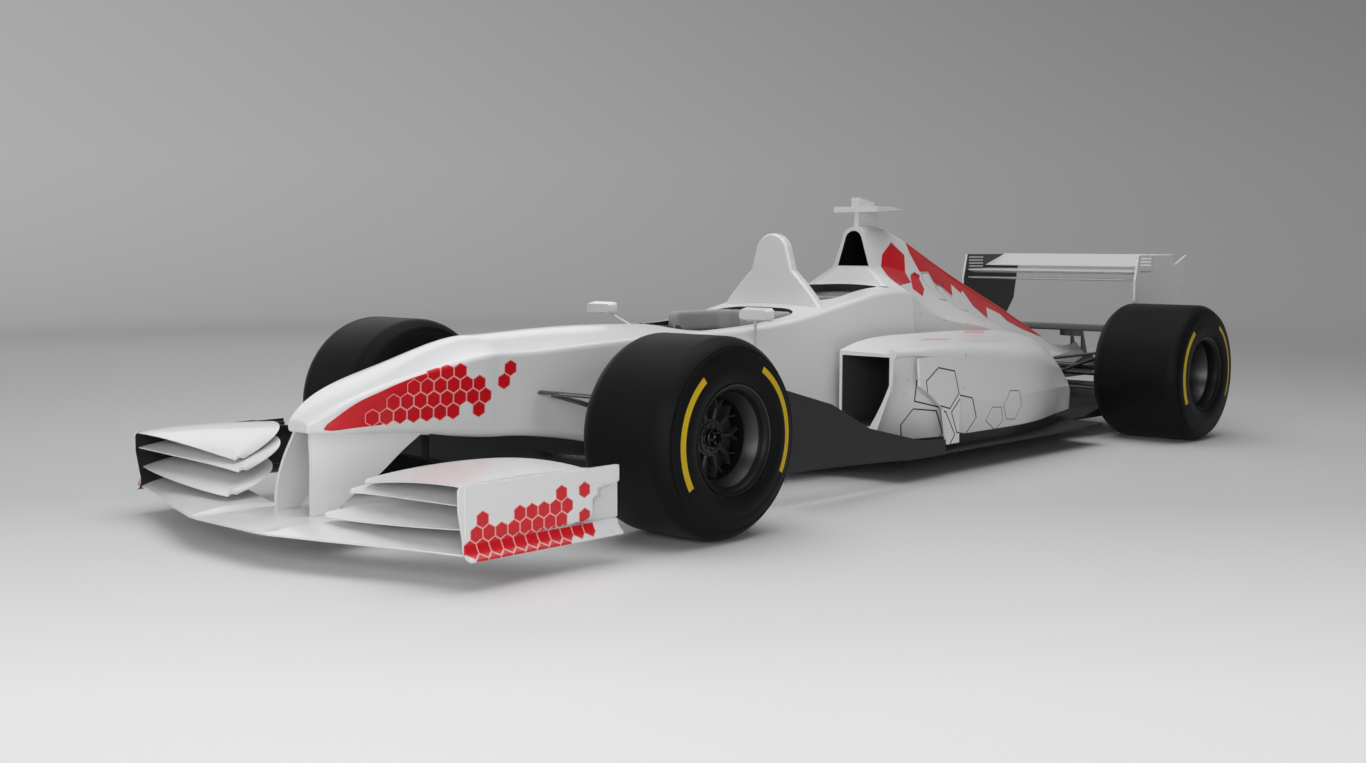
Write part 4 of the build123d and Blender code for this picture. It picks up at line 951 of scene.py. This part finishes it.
# Steering wheel: carbon body, two moulded grips, blank screen, knobs, buttons and shift paddles. Knobs
# are (x, z, radius, height, material), and those of material 2 are lobed.
WHEEL_KNOBS = (
    (0.062, 0.040, 0.0065, 0.0035, 3), (0.082, 0.022, 0.0065, 0.0035, 3), (0.060, 0.016, 0.0055, 0.0035, 4),
    (0.058, -0.012, 0.0095, 0.007, 2), (0.034, -0.036, 0.0085, 0.007, 2), (0.080, -0.030, 0.0060, 0.0035, 3),
)
WHEEL_PADDLE = (
    (0.030, 0.030), (0.070, 0.036), (0.104, 0.026), (0.110, 0.000), (0.104, -0.022), (0.070, -0.012),
    (0.030, -0.006),
)


def make_steering_wheel():
    node = "steering_wheel"
    low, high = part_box(node)
    half_x, half_y, half_z = (high - low) / 2
    place = Matrix.Translation(box_centre(node))

    def plate(bm, outline, front, back, material):
        loft(bm, [[(x, y, z) for x, z in outline] for y in (front, back)], material, caps=(True, True))

    def knob(bm, x, z, radius, tall, face, material, lobes=0):
        sizes = [0.92 if lobes and step % 2 else 1 for step in range(20)]
        loft(bm, [
            [(x + a * size, face + y, z + b * size) for (a, b), size in zip(circle(r, 20), sizes)]
            for r, y in ((radius, 0.0), (radius, tall * 0.75), (radius * 0.82, tall))
        ], material, caps=(False, True))

    def shape(bm):
        outline = [
            (-0.100, 0.020), (-0.088, 0.052), (-0.066, 0.068), (0.066, 0.068), (0.088, 0.052), (0.100, 0.020),
            (0.104, -0.020), (0.078, -0.050), (0.040, -0.062), (-0.040, -0.062), (-0.078, -0.050),
            (-0.104, -0.020),
        ]
        plate(bm, outline, -0.009, 0.007, 0)
        plate(bm, [(-0.040, 0.018), (0.040, 0.018), (0.040, 0.055), (-0.040, 0.055)], 0.007, 0.0095, 1)
        for side in (-1, 1):
            for x, z, r, tall, material in WHEEL_KNOBS:
                knob(bm, side * x, z, r, tall, 0.007, material, material == 2)
            plate(bm, [(side * x, z) for x, z in WHEEL_PADDLE], -half_y + 0.001, -half_y + 0.0035, 0)
        knob(bm, 0, -0.018, 0.012, 0.008, 0.007, 2, 1)

    finishes = (gloss_carbon, screen_glass, knob_alloy, knob_red, knob_yellow)
    build("steering_wheel_body", shape, node, finishes, place, slot="steering_wheel", soften=0.0008)

    def grips(bm):
        for side in (-1, 1):
            rings = []
            for step in range(33):
                t = 2 * step / 32 - 1
                spot = Vector((side * (half_x - 0.0135 - 0.022 * abs(t) ** 2.6), 0, t * (half_z - 0.009)))
                end = max(1 - abs(t) ** 10, 0.04) ** 0.5
                finger = 1 + 0.035 * math.cos(t * 11)
                wide, deep = 0.0125 * end * finger, 0.0150 * end * (0.96 + 0.04 * finger)
                rings.append([spot + Vector((wide * c, deep * s, 0)) for c, s in circle(1, 20)])
            loft(bm, rings, caps=(True, True))

    build("steering_wheel_grips", grips, node, grip_rubber, place, 60, "steering_wheel")


knob_red = plain("knob_red", (0.50, 0.012, 0.015), 0.4, grain=60)
knob_yellow = plain("knob_yellow", (0.62, 0.45, 0.03), 0.4, grain=60)
make_steering_wheel()


# Mirror faces, screws and the tail light's lenses
for side, sign in SIDES:
    node = "mirror_" + side
    low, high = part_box(node)
    centre = Vector((sign * (max(high.x, -low.x) - 0.075), at(0.805), high.z - 0.026))

    def glass(bm):
        outline = rounded(0.069, 0.020, 0.013)
        loft(bm, [[(x, y, z) for x, z in outline] for y in (-0.001, 0.0012)], caps=(False, True))

    build(node + "_glass", glass, node, mirror_glass, Matrix.Translation(centre))


def screw(bm, place, way, radius):
    """Flush screw head with a round recess, on a surface that faces along way."""
    turn = Vector(way).to_track_quat("Z", "Y").to_matrix()
    steps = ((1.15, -0.0006), (1.05, 0.0009), (0.80, 0.0014), (0.45, 0.0014), (0.40, 0.0002))
    loft(bm, [
        [Vector(place) + turn @ Vector((*spot, h)) for spot in circle(radius * share, 16)]
        for share, h in steps
    ], caps=(False, True))


PROBE_START = 1.5


def outer_face(node, sign, station, height):
    """Place and direction of a node's side face as met from far outside, or None."""
    start = Vector((sign * PROBE_START, at(station), height))
    hit, place, normal, face = frame["nodes"][node].ray_cast(start, Vector((-sign, 0, 0)))
    return (place, normal) if hit else None


# Rows of screws: name, node, head's radius, and places as (station, height)
SCREW_ROWS = (
    ("cover", "engine_cover", 0.0055, (
        (2.05, 0.66), (2.25, 0.62), (2.45, 0.60), (2.65, 0.585), (2.85, 0.56), (3.05, 0.53), (3.25, 0.50),
        (3.45, 0.47), (3.65, 0.44),
    )),
    ("pod", "sidepod_{}", 0.0055, (
        (1.84, 0.50), (1.84, 0.36), (1.84, 0.22), (2.60, 0.20), (2.80, 0.19), (3.00, 0.18),
    )),
    ("fin", "rear_endplate_{}", 0.005, (
        (3.86, 0.700), (3.86, 0.66), (3.92, 0.530), (4.02, 0.530), (4.12, 0.530), (4.24, 0.80), (4.24, 0.72),
    )),
    ("tub", "tub", 0.0055, ((0.40, 0.30), (0.40, 0.42))),
)
for side, sign in SIDES:
    for name, node, radius, spots in SCREW_ROWS:
        node = node.format(side)
        met = [outer_face(node, sign, s, z) for s, z in spots]

        def heads(bm):
            for place, normal in filter(None, met):
                screw(bm, place, normal, radius)

        build("screws_" + name + "_" + side, heads, node, screw_paint)


# Outer skin of each front endplate: its lower rear edge rises in a stepped curve, as (station, height)
SKIN_PROUD = (0.002, 0.016)
SKIN_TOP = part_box("front_endplate_left")[1].z - 0.004
SKIN_EDGE = (
    (-1.046, 0.142), (-0.940, 0.142), (-0.840, 0.142), (-0.740, 0.142), (-0.640, 0.142), (-0.600, 0.143),
    (-0.582, 0.147), (-0.571, 0.154), (-0.566, 0.168), (-0.563, 0.180), (-0.556, 0.190), (-0.544, 0.196),
    (-0.508, 0.202), (-0.482, 0.210), (-0.466, 0.221), (-0.458, 0.234), (-0.4545, 0.250), (-0.4535, 0.268),
)
SKIN_ROWS = 6


def make_plate_skin(side, sign):
    node = "front_endplate_" + side
    grid = []
    for s, low in SKIN_EDGE:
        column = []
        for row in range(SKIN_ROWS):
            z = low + (SKIN_TOP - low) * row / (SKIN_ROWS - 1)
            met = outer_face(node, sign, s, z)
            column.append(Vector((met[0].x if met else sign * PLATE_OUTER, at(s), z)))
        grid.append(column)

    def shape(bm):
        outer = []
        for (s, low), column in zip(SKIN_EDGE, grid):
            back = (s - SKIN_EDGE[0][0]) / (SKIN_EDGE[-1][0] - SKIN_EDGE[0][0])
            proud = SKIN_PROUD[0] + (SKIN_PROUD[1] - SKIN_PROUD[0]) * back ** 1.5
            outer.append([spot + Vector((sign * proud, 0, 0)) for spot in column])
        slab(bm, outer, [[spot - Vector((sign * 0.001, 0, 0)) for spot in column] for column in grid])

    build(node + "_skin", shape, node, plate_paint, soften=0.0012)


for side, sign in SIDES:
    make_plate_skin(side, sign)

# A screwed hatch on each pod's undercut skin, over the outer edge of the duct
HATCH_CENTRE = (1.449, 0.388)
HATCH_HALF = (0.051, 0.037)
HATCH_CORNER = 0.014
HATCH_PROUD = 0.0014
HATCH_GRID = 20
HATCH_SCREW_INSET, HATCH_SCREW_RADIUS = 0.010, 0.0032
# How far out the pod's skin lies there: a ray that goes through to the duct meets something else
POD_SKIN = (0.60, 0.66)


def make_hatch(side, sign):
    node = "sidepod_" + side
    skin = []
    for row in range(HATCH_GRID + 1):
        z = HATCH_CENTRE[1] + HATCH_HALF[1] * (2 * row / HATCH_GRID - 1)
        known = []
        for column in range(HATCH_GRID + 1):
            s = HATCH_CENTRE[0] + HATCH_HALF[0] * (2 * column / HATCH_GRID - 1)
            met = outer_face(node, sign, s, z)
            if met and POD_SKIN[0] < abs(met[0].x) < POD_SKIN[1]:
                known.append((column, abs(met[0].x)))
        skin.append(known)

    def along_row(row, column):
        known = skin[min(row, HATCH_GRID)]
        c0, x0 = [spot for spot in known if spot[0] <= column][-1] if known[0][0] <= column else known[0]
        c1, x1 = [spot for spot in known if spot[0] >= column][0] if known[-1][0] >= column else known[-1]
        return x0 if c1 == c0 else x0 + (x1 - x0) * (column - c0) / (c1 - c0)

    def on_skin(u, v, proud):
        column = (u / HATCH_HALF[0] + 1) / 2 * HATCH_GRID
        height = (v / HATCH_HALF[1] + 1) / 2 * HATCH_GRID
        row = int(height)
        x = along_row(row, column) * (row + 1 - height) + along_row(row + 1, column) * (height - row)
        return Vector((sign * (x + proud), at(HATCH_CENTRE[0] + u), HATCH_CENTRE[1] + v))

    def panel(bm):
        outline = rounded(*HATCH_HALF, HATCH_CORNER, 8)
        shares = [(share / 10, HATCH_PROUD) for share in range(1, 10)]
        shares += [(0.975, HATCH_PROUD), (0.992, HATCH_PROUD * 0.6), (0.998, -0.002)]
        rows = loft(bm, [
            [on_skin(u * share, v * share, proud) for u, v in outline] for share, proud in shares
        ])
        middle = bm.verts.new(on_skin(0, 0, HATCH_PROUD))
        for vert, after in zip(rows[0], rows[0][1:] + rows[0][:1]):
            bm.faces.new((middle, vert, after))

    build("hatch_" + side, panel, node, white_paint)

    def heads(bm):
        for u, v in ((-1, -1), (1, -1), (1, 1), (-1, 1)):
            u, v = u * (HATCH_HALF[0] - HATCH_SCREW_INSET), v * (HATCH_HALF[1] - HATCH_SCREW_INSET)
            screw(bm, on_skin(u, v, HATCH_PROUD), (sign, 0, 0), HATCH_SCREW_RADIUS)

    build("hatch_screws_" + side, heads, node, screw_paint)


for side, sign in SIDES:
    make_hatch(side, sign)


TAIL_LIGHT_HEIGHT = 0.290
LENS_PITCH = 0.0118


def lenses(bm):
    for row in range(5):
        for column in range(7):
            x, z = (column - 3) * LENS_PITCH, (row - 2) * LENS_PITCH
            loft(bm, [
                [(x + a, h, z + b) for a, b in circle(r, 12)]
                for r, h in ((0.0054, 0.0), (0.0050, 0.0018), (0.0034, 0.0032))
            ], caps=(False, True))


lens_centre = Vector((0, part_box("gearbox")[1].y - 0.0005, TAIL_LIGHT_HEIGHT))
build("tail_light_lens", lenses, "gearbox", lens_red, Matrix.Translation(lens_centre), 40)

# Studio: pale floor that curves up into a backdrop, with soft lamps overhead and to the sides
FLOOR_REACH = 14.0
SWEEP_RADIUS = 9.0
WALL_HEIGHT = 26.0
# Floor directions that run away from the photograph's front and to its right
WAY_BACK, WAY_RIGHT = (-0.673, 0.739), (0.739, 0.673)


def make_stage():
    profile = [(0.5, 0.0), (2.0, 0.0), (4.0, 0.0), (7.0, 0.0), (10.0, 0.0), (FLOOR_REACH, 0.0)]
    for turn in range(6, 91, 6):
        angle = math.radians(turn)
        profile.append((FLOOR_REACH + SWEEP_RADIUS * math.sin(angle), SWEEP_RADIUS * (1 - math.cos(angle))))
    profile.append((FLOOR_REACH + SWEEP_RADIUS, WALL_HEIGHT))
    mesh = bpy.data.meshes.new("studio_floor")
    bm = bmesh.new()
    around = [(math.cos(math.pi * t / 48), math.sin(math.pi * t / 48)) for t in range(96)]
    rings = [[bm.verts.new((r * c, r * s, h)) for c, s in around] for r, h in profile]
    bm.faces.new(rings[0])
    for near, far in zip(rings, rings[1:]):
        for t in range(96):
            bm.faces.new((near[t], far[t], far[(t + 1) % 96], near[(t + 1) % 96]))
    bm.to_mesh(mesh)
    bm.free()
    mesh.polygons.foreach_set("use_smooth", [True] * len(mesh.polygons))
    floor = bpy.data.objects.new("studio_floor", mesh)
    bpy.context.scene.collection.objects.link(floor)
    material, tree, shader = new_material("studio_floor", Roughness=0.6, Specular_IOR_Level=0.2)
    x, y, z = coordinates(tree)
    # Painted light: the floor's colour is lighter towards the front of the view and darkens with distance,
    # standing in for the lamps' falloff
    away = (x * x + y * y).math("SQRT")
    fade = ((away - 5) / 15).most(0).least(1)
    deep = x * WAY_BACK[0] + y * WAY_BACK[1]
    light = ((-0.98 - deep) * 0.40).most(0).least(1)
    near = mix(tree, light, (0.62, 0.62, 0.62), (0.92, 0.92, 0.92))
    shade = mix(tree, fade, near, (0.05, 0.05, 0.05))
    tree.links.new(shade, shader.inputs["Base Color"])
    rays = tree.nodes.new("ShaderNodeLightPath")
    seen = Value(tree, rays.outputs["Is Camera Ray"])
    for ray in ("Is Glossy Ray", "Is Transmission Ray"):
        seen = seen.most(Value(tree, rays.outputs[ray]))
    # The far floor and the backdrop glow for camera and glossy rays, with painted shade that makes them
    # darker upwards and to the right
    rise = (z / 9).least(1)
    across = ((x * WAY_RIGHT[0] + y * WAY_RIGHT[1]) / 40 + 0.5).most(0).least(1)
    glow = (0.50 - rise * 0.10 - across * 0.34) * fade * seen
    shader.inputs["Emission Color"].default_value = (1, 1, 1, 1)
    tree.links.new(glow.socket, shader.inputs["Emission Strength"])
    mesh.materials.append(material)
    floor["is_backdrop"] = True


def soft_lamp(name, place, target, width, height, power):
    lamp = bpy.data.objects.new(name, bpy.data.lights.new(name, "AREA"))
    bpy.context.scene.collection.objects.link(lamp)
    lamp.data.shape = "RECTANGLE"
    lamp.data.size, lamp.data.size_y = width, height
    lamp.data.energy = power
    lamp.location = place
    lamp.rotation_mode = "QUATERNION"
    lamp.rotation_quaternion = (Vector(target) - Vector(place)).to_track_quat("-Z", "Y")
    lamp.visible_camera = False


make_stage()
soft_lamp("lamp_above", (0.5, -0.5, 7.0), (0, 0, 0), 9, 7, 300)
soft_lamp("lamp_front", (2.5, -9.5, 4.0), (0, -1, 0.4), 8, 4, 195)
soft_lamp("lamp_side", (6.8, -6.6, 1.9), (0, -2.0, 0.3), 6, 3, 190)
soft_lamp("lamp_far", (-9.0, 3.0, 5.0), (0, 0, 0.4), 9, 4, 100)
world = bpy.data.worlds.new("studio")
bpy.context.scene.world = world
world.use_nodes = True
world.node_tree.nodes["Background"].inputs["Color"].default_value = (0.9, 0.92, 0.95, 1)
world.node_tree.nodes["Background"].inputs["Strength"].default_value = 0.54
bpy.context.scene.view_settings.view_transform = "Standard"

low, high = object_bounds()
